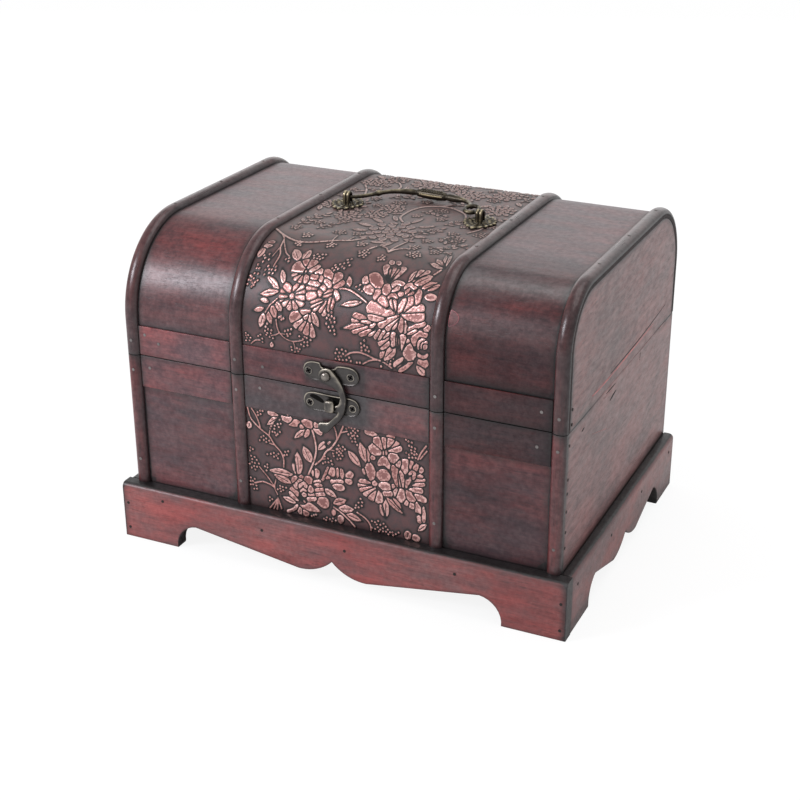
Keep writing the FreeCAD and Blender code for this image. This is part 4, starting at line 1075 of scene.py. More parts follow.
LID_DOTS = [
    (-51.3, 52), (-49.7, 54.7), (-48.6, 51.4), (-51.7, 49.7), (-52.6, 53.4), (-38.3, 53), (-36.7, 54),
    (-36.3, 52), (-48.3, 45.3), (-47.3, 47.7), (-46, 46), (-44.3, 46), (-45.3, 44), (-43, 44), (-42, 46),
    (-42.4, 48), (-48, 42.7), (-54, 47.7), (-52.3, 45.7), (-54, 45.7), (-52, 42.7), (-54.3, 42.7),
    (-55.3, 40.7), (-53.7, 40), (-52.3, 38.3), (-51, 39.3), (-55.2, 38.8), (-54, 37.7), (-52.7, 36.7),
    (-56.7, 39), (-56.8, 36.7), (-54, 35.7), (-56.4, 41.3), (-34, 21.7), (-32.7, 22.3), (-32.3, 20.7),
    (-31, 21.3), (-41.3, 17.7), (-42.3, 16), (-40.7, 14.7), (-38.7, 14.3), (-42.7, 13.7), (-41.3, 12.3),
    (-39, 12.3), (-42, 10.7), (-40, 9.3), (-37.7, 8.7), (-30, 14.7), (-28, 15.3), (-26, 16), (-28.7, 13),
    (-26.7, 13.3), (-28.3, 11.7), (-21, 12.3), (-17.7, 12.3), (-18.7, 10.7), (-16.3, 11.7), (-14, 10.7),
    (-18, 8.7), (-16, 9), (-20, 7), (-18.3, 6), (-16, 7), (-26.3, 4.3), (-26, 2.3), (-24, 1.4), (-22.7, 4),
    (-21, 3.7), (-22, 2), (-55.3, 10.3), (-53.7, 8.7), (-55.3, 8.4), (-52.3, 6.7), (-54.7, 6.3), (-53, 4.4),
    (-55.3, 4), (-47.3, 9), (-45.7, 10.3), (-44.7, 7.3), (-44.7, 4.7), (-1.7, 27.3), (-3.3, 25.7),
    (-1.3, 25.3), (0.3, 24.3), (-4.3, 24), (-2.3, 23.3), (0.7, 22.3), (-1.3, 22), (-4.3, 21), (-2.7, 19.3),
    (-0.3, 19.7), (-1.7, 17.3), (0.7, 17.7), (1, 15.7), (-8.3, 51.7), (-6.3, 52.7), (-7.3, 54), (-4.7, 52),
    (-3, 53.7), (-1.3, 53), (-4.7, 55), (-2.7, 56), (-6.7, 50.7), (-1.7, 58.7), (0.3, 59.7), (-0.6, 57),
    (1, 55.3), (-22.7, 58), (-21, 59.3), (-19.3, 58), (-18, 59.7), (-16.7, 57.4), (-18, 56.3),
    (-19.9, 56.3), (-21.9, 56.4), (-16, 60), (11.7, 44.3), (9.7, 43), (12, 41.7), (13.7, 43), (14, 41),
    (19, 13.7), (17, 12), (19, 11), (17.3, 9.9), (20.7, 10.3), (19.7, 8.7), (21.7, 8.3), (17.3, 8.3),
    (2.3, 7), (5.3, 7.3), (7.7, 6.7), (3.7, 5.3), (6, 4.9), (1.3, 4.7), (3, 3), (4.8, 3.3), (9.7, 3.3),
    (5.7, 1.3), (3.6, 1.3), (8, 1.7), (10.7, 1.5), (1.4, 1.3), (29, 1.5), (32.7, 4.6), (34.7, 5.2),
    (36.3, 6.4), (34.5, 3.4), (14.3, 1.3), (16.2, 1.5),
]
LID_OVALS = [
    (-27.5, 33.4, 1.5, 1.5), (-23.7, 47.9, 1.0, 1.0), (54.2, 42.7, 3.3, 2.2), (36.7, 42.2, 1.5, 1.4),
    (55, 13.6, 1.4, 1.2),
]
BACK_TURN = LID_END - LID_STRIP - 1.0

x0, x1 = BAYS["middle"]
columns = np.linspace(x0, x1, 257)
wall, top, back = KNOTS[1] - LID_STRIP, KNOTS[3] - LID_STRIP, KNOTS[4] - LID_STRIP
rows = np.concatenate([np.linspace(wall, top, 150)[:-1], np.linspace(top, back, 160)[:-1],
                       np.linspace(back, LID_END - LID_STRIP, 70)])
lid_panel = Relief(columns, rows)
LID_MOTIFS = (LID_PETALS, LID_LEAVES, LID_SPLITS, LID_STRIPS, LID_VINES, LID_DOTS, LID_OVALS)
lid_panel.draw(*LID_MOTIFS)
lid_panel.draw(*(flip(rows, BACK_TURN) for rows in LID_MOTIFS))

# Top of the lid, in the same measures as its front
TOP_VINES = [
   
    ([(-57, 75), (-50.5, 71), (-41.8, 67.4), (-34.3, 66.8), (-26.8, 68.6), (-16.8, 73), (-8, 76.5),
      (-3, 82)], 1.3),
    ([(-18.4, 72.4), (-18.8, 79)], 1.0), ([(-10, 75.6), (-9.2, 82)], 1.0),
    ([(-50.5, 71), (-47.6, 68), (-46.4, 66)], 1.1),
    ([(6.4, 70.5), (9.5, 74.4), (14.5, 74.9), (18.3, 70.6)], 1.2),
    ([(18.3, 70.6), (20.8, 74.4), (25, 77.4), (28, 78)], 1.2),
    ([(18.3, 70.6), (19.8, 80), (21.4, 90), (20.6, 99), (16, 105)], 1.3),
    ([(5, 118), (-1, 126), (-2, 134), (-1, 143), (3, 152), (12, 157), (20, 156.4), (26, 153), (31, 149),
      (34, 143)], 1.5),
    ([(12, 157), (18, 163), (26, 165)], 1.3), ([(-2, 134), (-8, 131)], 1.2),
    ([(-55, 183), (-49, 176), (-44, 167), (-41, 158)], 1.4), ([(-44, 167), (-50, 162)], 1.2),
    ([(-37, 201), (-33, 192), (-28, 184), (-27, 176)], 1.4), ([(46, 118), (50, 128), (48, 140)], 1.3),
    ([(20, 205), (10, 214), (-4, 214)], 1.4), ([(-40, 206), (-30, 216), (-16, 218)], 1.4),
    ([(36, 206), (44, 216), (52, 218)], 1.3),
]
TOP_LEAVES = [
    (54.6, 64, 46, 66.4, 3.0), (54.6, 64.6, 48, 71.2, 3.0), (54.4, 65, 50.4, 79, 1.5),
    (55.2, 65, 53.6, 80, 1.5), (15, 84, 10, 74, 2.6), (11, 82, 3, 79, 2.8), (2, 84, -7, 84, 2.8),
    (-8, 96, -17, 94, 2.8), (-8, 104, -19, 106, 2.8), (-6, 113, -15, 118, 2.6), (0, 119, -6, 128, 2.4),
    (9, 120, 12, 130, 2.4), (16, 115, 24, 121, 2.4), (19, 108, 28, 112, 2.6), (18, 98, 28, 100, 2.6),
    (17, 92, 25, 90, 2.2), (-43, 128, -38, 120, 2.8), (-46, 137, -40, 143, 2.8), (-55, 126, -52, 118, 2.6),
    (-24, 108, -20, 112, 2.2), (33, 166, 38, 172, 2.6), (36, 160, 31, 156, 2.4), (8, 176, 4, 168, 2.8),
    (27, 190, 34, 186, 2.6), (-5, 186, -10, 178, 2.6), (-24, 186, -22, 178, 2.6), (-44, 196, -52, 200, 2.8),
    (14, 204, 20, 210, 2.6), (50, 184, 55, 178, 2.6),
]
TOP_PEONIES = [
    (5, 101, 13.5, 18, 0.2), (-31, 116, 8, 9, 0.5), (-17, 126, 7, 8, 0.1), (-13, 140, 7.5, 8, 0.8),
    (47, 165, 9, 10, 0.3), (18, 185, 10, 11, 0.0), (-15, 197, 10, 11, 0.6), (4, 198, 8.5, 10, 0.2),
    (40, 195, 9, 10, 0.9), (-36, 198, 7, 8, 0.4), (-47, 186, 8, 8, 0.1), (-50, 133, 6.5, 8, 0.7),
    (24, 214, 8.5, 9, 0.3), (-26, 212, 8, 8, 0.2), (52, 208, 6, 8, 0.5), (44, 104, 6, 6, 0.4),
]
TOP_SPRIGS = [
    ([(-50, 88), (-48, 96), (-47, 104), (-44, 112)], 8, 6.0),
    ([(35, 103), (40, 101), (47, 97), (54, 95)], 7, 5.4), ([(28, 126), (32, 131), (35, 138)], 6, 5.0),
    ([(21, 105), (25, 110), (29, 117)], 6, 5.0), ([(36, 88), (42, 86), (48, 90)], 5, 4.6),
    ([(-36, 128), (-33, 136), (-34, 146)], 6, 5.2), ([(-24, 160), (-18, 166), (-10, 168)], 6, 5.6),
    ([(6, 142), (12, 144), (19, 142)], 6, 4.8), ([(-56, 150), (-50, 152), (-44, 148)], 5, 5.0),
    ([(44, 140), (48, 146), (54, 150)], 6, 5.2), ([(-36, 86), (-34, 92), (-30, 98)], 5, 4.6),
    ([(-30, 168), (-36, 172), (-42, 172)], 5, 5.0), ([(12, 168), (20, 170), (28, 168)], 6, 5.0),
    ([(52, 186), (54, 194), (52, 200)], 5, 4.6), ([(-52, 208), (-46, 214), (-40, 216)], 5, 5.0),
    ([(0, 218), (8, 220), (14, 216)], 5, 5.0),
]
TOP_BUNCHES = [
    (5, 65.6, 12, 3.8), (17, 64.3, 8, 2.8), (33.2, 72.6, 14, 4.2), (29, 82, 12, 3.8), (-35.6, 74, 10, 3.2),
    (-36.2, 65, 7, 2.4), (-17, 68.4, 9, 3.0), (-0.4, 74.4, 10, 3.2), (-20.6, 86, 14, 4.2),
    (-10, 88, 10, 3.4), (43, 80, 10, 3.4), (-48, 82, 12, 3.8), (-28, 104, 9, 3.2), (-40, 96, 10, 3.4),
    (31, 95, 10, 3.4), (54, 118, 14, 4.2), (39, 113, 10, 3.4), (16, 149, 14, 4.2), (-14, 153, 14, 4.2),
    (-31, 154, 12, 3.8), (36, 182, 14, 4.2), (6, 134, 9, 3.0), (-24, 142, 9, 3.2), (22, 134, 10, 3.4),
    (40, 128, 9, 3.2), (54, 134, 9, 3.2), (40, 150, 9, 3.2), (0, 162, 12, 3.8), (-52, 166, 9, 3.2),
    (-38, 182, 10, 3.4), (-14, 180, 10, 3.4), (-2, 176, 9, 3.2), (28, 200, 9, 3.2), (-24, 226, 10, 3.4),
    (6, 208, 9, 3.2), (-14, 208, 9, 3.2), (44, 218, 10, 3.4), (-52, 222, 10, 3.4), (36, 222, 9, 3.2),
    (-30, 128, 7, 2.6), (50, 82, 6, 2.4),
]
lid_panel.strips(TOP_VINES, "vine", 1.1)
lid_panel.petals(TOP_LEAVES, "leaf", 1.2)
for x, v, rx, rv, start in TOP_PEONIES:
    lid_panel.peony(x, v, rx, rv, start)
for line, count, size in TOP_SPRIGS:
    lid_panel.sprig(line, count, size)
for x, v, count, reach in TOP_BUNCHES:
    lid_panel.bunch(x, v, count, reach)
lid_panel.finish("look_lid_embossed_panel", lambda u, v, h: lid_at(u, v + LID_STRIP, h),
                 np.interp(lid_panel.v, (44, 78), (1.0, 0.3)), "lid", "lid_embossed_panel")

# Front of the box, in millimetres from the panel's middle and from the floor
BOX_PETALS = [
    (-34.6, 97.6, -27.6, 97, 3.2), (-29.4, 93.8, -22.6, 96.8, 2.8), (-24, 95.6, -20.4, 93.6, 1.6),
    (-21, 98, -14, 95.8, 3.4), (-13.6, 97.2, -10.4, 96, 2.4), (-14, 94.4, -8.2, 92, 2.2),
    (-36, 97.8, -43.4, 99.4, 2.2), (-33, 99, -29, 99.6, 1.6), (-15, 64.2, -14.4, 68.2, 1.6),
    (-12.6, 63.6, -12.4, 69.2, 2.6), (-28.6, 57, -26, 61.6, 2.4), (-20.8, 45.8, -30.2, 53.4, 2.5),
    (-25.4, 45.8, -30.8, 50.8, 2.4), (-22.2, 46.4, -25.2, 50, 1.6), (-24.6, 42.6, -24, 37.2, 2.0),
    (-22, 40.2, -18.8, 37.2, 2.6), (-3.6, 66, -1.6, 72, 3.0), (0.8, 66.6, 1.2, 72.6, 1.8),
    (4, 66.6, 3, 72.6, 2.0), (6.6, 68, 10.6, 71.6, 2.8), (6.2, 65.6, 10.2, 65.4, 2.6),
    (2, 37, 2.6, 42.6, 2.8), (-2.4, 41, -2, 45.4, 2.0), (29.4, 90, 25, 96.8, 3.8),
    (30.4, 90.2, 30.2, 97.6, 2.9), (32.6, 91.8, 35.4, 98, 3.2), (33, 91, 39.4, 96.2, 2.3),
    (32.8, 90.2, 41.2, 93.4, 2.8), (28.2, 87.8, 21.2, 90.2, 4.2), (26, 98.4, 18.4, 99.6, 2.6),
    (32, 99, 37, 99.6, 1.8), (20.6, 69, 17.2, 75.6, 1.6), (21.6, 67.5, 14.4, 67.2, 2.5),
    (21.2, 66.2, 13.6, 64.4, 1.9), (23, 65.2, 14.8, 61.6, 2.3), (24.8, 64.8, 17.2, 59.2, 2.5),
    (25.2, 63.4, 21.2, 56.8, 3.1), (27, 63.4, 26.6, 55.8, 3.4), (38.2, 69.2, 36.6, 81.8, 2.9),
    (40.6, 69.2, 38.8, 77.2, 1.7), (41.8, 69.2, 40.2, 79.2, 2.2), (37.6, 80.6, 40.6, 85.6, 2.5),
    (43, 78.2, 43.8, 87, 3.8), (45.2, 81, 48, 86.4, 2.8), (43.8, 69.4, 46.2, 77.4, 1.9),
    (45.2, 68.4, 54.2, 69.6, 2.3), (47.6, 71.8, 55.4, 73.8, 1.5), (48.2, 74.4, 55.4, 77, 1.5),
    (47.4, 66.2, 56.4, 63.6, 2.8), (40.8, 67.6, 41.4, 59.8, 4.2), (44.2, 67.2, 48.4, 61.2, 4.2),
    (43.8, 61.8, 44.4, 58.2, 2.6), (46.6, 61, 48, 57, 2.6), (34.6, 67, 36.6, 69.6, 1.8),
    (36.6, 62.8, 38.2, 67.6, 1.9), (50, 61.8, 52.4, 53.6, 2.6), (51.6, 58, 52, 48.8, 2.0),
    (54.6, 60, 54.4, 50, 2.0),
]
BOX_LEAVES = [
    (-35.6, 97.6, -43.8, 91.2, 2.9), (-34.6, 97, -39.8, 93.2, 1.7), (-19.6, 92.4, -26.2, 86.2, 2.6),
    (-16.6, 93.4, -19.4, 87.8, 2.4), (-8.4, 85, -2.4, 88.6, 1.4), (-16, 72.6, -20.4, 81.4, 4.5),
    (-24.2, 63, -24.8, 76.8, 4.6), (-26.6, 63.2, -26.8, 73, 2.6), (-28.2, 62.2, -43.2, 62, 3.8),
    (-27, 44, -35.2, 46.2, 2.7), (-7.4, 57.4, -0.6, 54, 3.2), (-2.4, 49.2, 5.8, 53.2, 3.4),
    (1.2, 46.6, 10.4, 48.2, 3.8), (6.2, 44.2, 15.2, 42, 3.4), (31.8, 60.4, 41.2, 52.8, 2.9),
    (35.8, 61.2, 40.8, 55, 2.1), (30.6, 47.6, 27.8, 55.2, 2.8), (31, 47.6, 31.2, 58.2, 3.3),
    (18.6, 80.2, 15.6, 91.4, 3.8), (21, 80.4, 20, 88.6, 1.6), (51, 43.6, 56.2, 48.6, 2.5),
    (44.2, 37, 45.2, 41.8, 3.6), (-56.4, 86.6, -55.6, 90.4, 3.0),
]
BOX_SPLITS = [
    (-29.8, 56.4, -40.4, 60, 3.8), (-11.2, 81.6, -5.6, 87.8, 2.8), (8, 85, 15.2, 77, 3.6),
]
BOX_STRIPS = [
    ([(-26.7, 53), (-26, 57.7), (-22, 60.4)], 2.2),
    ([(-24.3, 54.3), (-23.3, 57), (-20.7, 58.3), (-19.6, 55)], 2.0),
    ([(-23.4, 51.4), (-22, 54.2), (-19.6, 52.8)], 1.3), ([(-14, 55), (-8, 57)], 1.9),
    ([(-14, 52.4), (-7.4, 54)], 2.0), ([(-18.6, 51.4), (-14, 52.4)], 1.6),
    ([(-19.6, 48), (-12.4, 49.6)], 2.0), ([(-15.4, 60), (-10, 62)], 1.5),
    ([(-9, 62.4), (-7.3, 67), (-4.7, 72.2)], 1.3), ([(-7, 64.4), (-3, 66.4)], 1.5),
    ([(-4, 62.8), (4.6, 64.8)], 1.9), ([(-25.2, 43), (-28.7, 39.4), (-33.4, 36.8)], 1.9),
    ([(29.4, 62.4), (35.6, 64)], 2.6), ([(44.7, 74.4), (46.6, 79.4), (48.8, 80.2), (48.2, 74.6)], 1.5),
]
BOX_VINES = [
   
    ([(-56.6, 99.6), (-55, 93.7), (-52, 90.3), (-48.3, 87.3), (-43, 84), (-39.7, 79.3), (-35.7, 75.3),
      (-34, 71), (-34.1, 66)], 1.2),
    ([(-54, 99.6), (-51.3, 95.7), (-49.3, 91), (-48.7, 87.7)], 1.1), ([(-40, 79), (-42.8, 79.4)], 1.0),
    ([(-43, 84.2), (-42.4, 87.6)], 1.0),
    ([(-14.7, 93.4), (-13.3, 88.3), (-12.5, 81.7), (-14, 74.3), (-18, 64.4)], 1.3),
    ([(-13.3, 71.8), (-9, 76.3), (-6.3, 81.3), (-2.7, 84.7), (1, 90.3), (3.7, 96.3), (5, 99.6)], 1.2),
    ([(-9, 76.3), (-6.8, 76.8)], 0.9), ([(-5.2, 83.4), (-0.8, 83.2)], 0.9),
    ([(1, 90.6), (0.6, 94.6), (-0.7, 98.2)], 1.1), ([(3.7, 95.4), (7.7, 97)], 1.0),
    ([(-50.3, 62.7), (-46, 58.3), (-43, 54.7), (-40.7, 51.6)], 1.1),
    ([(-54, 51.4), (-48.7, 53.3), (-44, 52.7), (-40.7, 51.2)], 1.2),
    ([(-39.7, 56.4), (-40.7, 51.4), (-39, 47)], 1.0), ([(-38.7, 44.6), (-44.4, 37)], 1.2),
    ([(-38.6, 44), (-41.8, 36.9)], 1.2), ([(-38.5, 43.6), (-39.6, 36.9)], 1.2),
    ([(-38.3, 43.6), (-36.6, 38)], 1.2), ([(-2, 46.8), (2, 44.8), (7.3, 41), (11.3, 37.2)], 1.3),
    ([(13, 46.8), (18, 44.3), (21, 41), (21.7, 37.2)], 1.2), ([(51, 88.4), (53, 93), (56, 97.6)], 1.2),
    ([(52.4, 89), (56.4, 94.6)], 1.1),
]
BOX_DOTS = [
    (-50, 97.7), (-48.3, 98.9), (-46.6, 99.2), (-48, 96.9), (-49.7, 96), (-42, 89), (-41.3, 90.7),
    (-39, 91.3), (-37, 92.7), (-35, 93.3), (-39.3, 89.3), (-36.3, 91), (-40.6, 87.2), (-39, 87),
    (-37.3, 86.3), (-35.7, 88), (-38.3, 85.3), (-48.3, 82.3), (-46.7, 83.3), (-45, 82), (-46.7, 80.7),
    (-49.3, 80), (-45, 79.7), (-43, 81), (-32.7, 76), (-30.7, 76.7), (-31.7, 74.3), (-33.4, 73.6),
    (-44.7, 72), (-42.3, 72.7), (-40.3, 73.7), (-38.7, 72.3), (-37.3, 73.7), (-40.3, 71.3), (-37.7, 70.8),
    (-56, 74), (-54.3, 73.3), (-56.3, 72), (-55.7, 68.7), (-53.3, 68.3), (-55, 66.7), (-52, 66.7),
    (-53.3, 64.5), (-50.7, 64.7), (-55.3, 64.7), (-56.9, 63.3), (-52, 62.3), (-54, 62.3), (-55.7, 61),
    (-53.3, 60.3), (-45, 65.3), (-46.7, 63.7), (-45, 63.4), (-45.7, 61.3), (-56.6, 54.3), (-54, 54),
    (-55.3, 52.3), (-56.9, 52), (-55.3, 50), (-53, 49.8), (-56.9, 49.7), (-54.7, 47.3), (-52.7, 47.7),
    (-38.7, 50.4), (-37, 51.3), (-35.3, 52.7), (-35, 50.7), (-33, 52.7), (-37, 53), (-36.6, 49.6),
    (-44.3, 44), (-42.7, 43), (-44.3, 41.7), (-16.7, 37.7), (-15.2, 38.6), (-13.7, 39.3), (-8.7, 37.7),
    (-6.7, 39), (-7.2, 37.2), (-4.7, 38.3), (-3.4, 37.2), (-2.7, 39.2), (-0.9, 38.3), (-1.7, 81.3),
    (-1.3, 79.7), (0.7, 84.4), (-7, 78.4), (-5, 77.4), (-3, 76.3), (-8.3, 73.7), (-6.7, 74.7), (-4.7, 75),
    (-2.3, 74.3), (7, 98.5), (8.7, 99.6), (10.3, 99.6), (12.3, 99.6), (14.3, 98.7), (11.3, 98), (12.7, 97),
    (10, 96.3), (14, 95.3), (12, 95.3), (8.3, 95.2), (9.7, 93), (10.7, 94.7), (12.3, 93.3), (10.7, 91.3),
    (12.7, 91.5), (13.8, 89.7), (2, 87), (4.7, 86.7), (6, 85.5), (3, 85.3), (1.3, 84.6), (4.3, 84.3),
    (2.3, 83.4), (3.4, 82.5), (0.7, 82.3), (2, 81), (4.3, 81.1), (3, 79), (1, 78.3), (15.3, 56), (16.3, 54),
    (14, 53.3), (16, 51.7), (12.3, 51.3), (14, 50.3), (11.9, 49.6), (22.3, 43.3), (24.3, 43), (26.3, 44.3),
    (29.7, 43.3), (27.7, 42), (25.3, 41.8), (31, 41.7), (26, 40.1), (29.3, 40.2), (22.3, 39), (24.3, 38.6),
    (27.6, 39), (32.3, 40), (26.7, 37.6), (29.3, 38.2), (31.2, 38.4), (33.7, 38.7), (35.3, 38.9),
    (37.3, 38.3), (39, 39.7), (35.7, 37.2), (32.7, 37.1), (44, 91), (45.7, 90.3), (45.7, 95.7),
    (45.3, 98.3), (47.3, 98), (47.3, 95.3), (49.3, 94.7), (47, 93.3), (49, 92.9), (50.3, 91.5),
    (47.3, 91.5), (48.8, 90.9), (47.7, 88.9), (49.7, 89.1), (45.7, 88.5), (43.8, 99),
]
BOX_OVALS = [
    (-21.4, 50.8, 1.5, 1.5), (-18, 61, 2.5, 2.4), (-23, 62, 1.6, 1.2), (-16.7, 54.8, 1.6, 2.5),
    (-12, 59.2, 2.6, 1.2), (1.5, 60.6, 3.6, 2.3), (30, 88.4, 0.7, 1.5), (31.5, 88.8, 0.7, 1.5),
    (36.3, 86.2, 3.1, 2.9), (23.3, 83.6, 1.6, 1.2), (21.5, 74.6, 3.0, 5.0), (24.3, 68, 1.5, 1.5),
    (31, 67.4, 3.8, 2.4), (49.6, 83.2, 2.6, 2.2), (52.6, 82.4, 1.8, 1.8), (52.7, 77.8, 1.8, 1.4),
    (50, 38.8, 2.4, 2.2),
]
BOX_BLOBS = [
    [(-13.3, 47.7), (-11.4, 51), (-7.4, 52), (-5, 50.4), (-5.4, 46), (-9, 44.4)],
    [(-24.4, 43.2), (-20.6, 44.2), (-18.6, 46), (-14.8, 45.4), (-10.6, 41.8), (-14.6, 40.8), (-20.6, 40.8)],
    [(26.2, 81.6), (28.4, 85.2), (31.6, 85.6), (34, 81.4), (33.4, 78.8), (30.2, 80.2), (26.8, 79.2)],
    [(26.6, 71), (25.6, 74.4), (28, 77.6), (32, 77.8), (34.2, 74.4), (33.2, 71.6), (30, 70.6)],
]

box_panel = Relief(columns, np.linspace(PLINTH_TOP, BOX_TOP - BOX_STRIP, 152))
box_panel.draw(BOX_PETALS, BOX_LEAVES, BOX_SPLITS, BOX_STRIPS, BOX_VINES, BOX_DOTS, BOX_OVALS)
for outline in BOX_BLOBS:
    box_panel.blob(outline)
box_panel.finish("look_box_embossed_panel", lambda u, v, h: np.stack([u, FRONT - h, v], -1), 1.0,
                 "box", "box_embossed_panel")

# Latch: plates with raised rims, screws with cross slots, the hook, its rivet and the stud

class Metal:
    """Several lofts and shells gathered into one bronze mesh."""

    def __init__(self):
        self.points, self.faces, self.edge, self.count = [], [], [], 0

    def put(self, points, faces, edge):
        """Add a mesh with its edge values, one value or one per point: wear, and on plates and rods also
        painted highlight and shade.
        """
        points = np.asarray(points, float).reshape(-1, 3)
        self.points.append(points)
        self.edge.append(np.broadcast_to(np.asarray(edge, float), (len(points),)))
        self.faces += [[i + self.count for i in f] for f in faces]
        self.count += len(points)

    def plate(self, outline, y_back, steps, samples=72, lift=None):
        """A plate seen from the front: each step is (inset, height above its back, edge wear)."""
        p = curve(outline, samples, closed=True)
        d = np.roll(p, -1, 0) - np.roll(p, 1, 0)
        out = np.stack([d[:, 1], -d[:, 0]], -1)
        out /= np.linalg.norm(out, axis=1)[:, None]
        rings, wear = [], []
        for inset, height, worn in steps:
            q = p - out * inset
            raise_by = lift(q) if lift else 0.0
            rings.append(np.stack([q[:, 0], np.full(samples, y_back) - height - raise_by, q[:, 1]], -1))
            # Upper and left rims are brassier, a painted highlight; lower rims are pushed below zero, painted
            # shade that darkens the floor's reflection on them.
            wear.append(worn * np.clip(0.55 + 0.5 * out[:, 1] - 0.1 * out[:, 0], 0.0, 1.0)
                        - 0.4 * np.clip(-out[:, 1] - 0.5, 0.0, 0.5) * (worn > 0))
        points, faces = loft(rings)
        self.put(points, faces, np.concatenate(wear))

    def tube(self, line, radii, edge, sides=12, smooth=0):
        """A round rod along a line of points."""
        line = np.asarray(line, float)
        if smooth:
            t = np.linspace(0, 1, len(radii))
            radii = np.interp(np.linspace(0, 1, smooth), t, radii)
            edge = np.interp(np.linspace(0, 1, smooth), t, np.broadcast_to(edge, (len(t),)))
            line = curve(line, smooth)
        d = np.gradient(line, axis=0)
        d /= np.linalg.norm(d, axis=1)[:, None]
        side = np.cross(d, [0.0, 0.0, 1.0])
        side /= np.linalg.norm(side, axis=1)[:, None]
        up = np.cross(side, d)
        a = circle(sides)
        around = side[:, None] * np.cos(a)[None, :, None] + up[:, None] * np.sin(a)[None, :, None]
        points, faces = loft(line[:, None] + np.asarray(radii, float)[:, None, None] * around)
        # Brassier on top, partly wear and partly painted highlight; below zero underneath, painted shade
        # under the rod.
        worn = np.broadcast_to(edge, (len(line),))[:, None] * (0.45 + 0.55 * np.clip(np.sin(a), 0, 1))
        self.put(points, faces, (worn - 0.5 * np.clip(-np.sin(a), 0, 1)).ravel())

    def ball(self, centre, r, edge, squash=(1.0, 1.0, 1.0), n=10):
        """A ball, or an egg when squashed."""
        u = np.linspace(0.06, math.pi - 0.06, n)
        a = circle(2 * n)
        rings = np.stack([np.outer(np.sin(u), np.cos(a)), np.outer(np.sin(u), np.sin(a)),
                          np.outer(np.cos(u), np.ones(2 * n))], -1)
        points, faces = loft(np.array(centre) + r * rings * np.array(squash))
        self.put(points, faces, edge)

    def turned(self, x, z, rows, count):
        """A head turned about an axis square to the front: rows of radius, height on the strip, edge wear."""
        a = circle(count)
        rings = [np.stack([x + r * np.cos(a), np.full(count, STRIP_FACE - h), z + r * np.sin(a)], -1)
                 for r, h, _ in rows]
        self.put(*loft(rings), np.repeat([worn for _, _, worn in rows], count))

    def finish(self, name, body, replaces, mat=None, sharp=40, slot="antique_bronze"):
        """One piece made of all that was gathered."""
        add(name, np.concatenate(self.points), self.faces, mat or metal, body, replaces,
            {"edge": np.concatenate(self.edge)}, sharp)


RIM = [(0.0, 0.0, 0.0), (0.0, 0.75, 0.25), (0.22, 1.12, 0.9), (0.5, 1.2, 0.9), (0.85, 0.98, 0.25),
       (1.3, 0.78, 0.0), (2.4, 0.74, 0.0)]
STUD_LOW, STUD_HIGH = np.array([-4.6, PLATE_FACE - 3.4, 108.2]), np.array([1.5, PLATE_FACE + 0.6, 115.6])
PLATE = [
    (-12.9, 136.5), (-16.8, 134.9), (-18.4, 131.0), (-16.8, 127.1), (-12.9, 125.5), (-9.0, 125.3),
    (-6.8, 124.6), (-4.5, 124.2), (-2.0, 124.6), (0.6, 125.2), (5.0, 125.4), (10.7, 125.5), (14.6, 127.1),
    (16.2, 131.0), (14.6, 134.9), (10.7, 136.5), (5.0, 136.4), (2.6, 135.9), (1.4, 134.6), (0.2, 134.0),
    (-3.0, 133.7), (-6.4, 133.8), (-7.3, 134.7), (-7.8, 136.1), (-9.2, 136.5),
]
KEEPER = [
    (-13.2, 118.0), (-17.1, 116.4), (-18.7, 112.4), (-17.1, 108.5), (-13.2, 106.9), (-8.0, 106.9),
    (-3.0, 107.0), (3.0, 107.0), (8.0, 106.9), (10.8, 106.9), (14.7, 108.5), (16.3, 112.4), (14.7, 116.4),
    (10.8, 118.0), (6.0, 118.0), (0.0, 117.8), (-7.0, 118.0),
]
plate = Metal()
plate.plate(PLATE, STRIP_FACE, RIM, 96)
plate.finish("look_latch_plate", "lid", ["latch_plate"])
keeper = Metal()
keeper.plate(KEEPER, STRIP_FACE, RIM, 96)
points, faces = rounded_box(STUD_LOW, STUD_HIGH, 1.9, 0.8)
off_middle = np.abs(points - (STUD_LOW + STUD_HIGH) / 2) / ((STUD_HIGH - STUD_LOW) / 2)
front_edge = np.maximum(off_middle[:, 0], off_middle[:, 2])
wear = np.clip(0.45 + 1.3 * (front_edge - 0.6), 0.45, 1.0)
keeper.put(points, faces, np.where(points[:, 1] < PLATE_FACE - 1.9, wear, 0.0))
keeper.finish("look_latch_keeper", "box", ["latch_keeper"])

# Dark sheets on the keeper, painted shade of its slots beside and behind the stud
LONG_SLOT = [(-14.4, 115.3), (-12.6, 116.3), (-9.2, 115.4), (-6.6, 113.6), (-6.8, 112.6), (-9.6, 113.4),
             (-12.6, 114.5)]
BENT_SLOT = [(-5.6, 117.0), (-3.6, 117.4), (0.6, 117.2), (4.0, 116.2), (4.4, 113.0), (2.4, 111.8),
             (0.2, 113.0), (-0.4, 115.8), (-3.4, 116.6)]
shade = Metal()
for outline, inset, samples in ((LONG_SLOT, 0.4, 30), (BENT_SLOT, 0.3, 40)):
    shade.plate(outline, STRIP_FACE - 0.72, [(0.0, 0.0, 0.0), (0.02, 0.05, 0.0), (inset, 0.06, 0.0)], samples)
shade.finish("look_latch_keeper_slots", "box", [], painted_slot_shade)
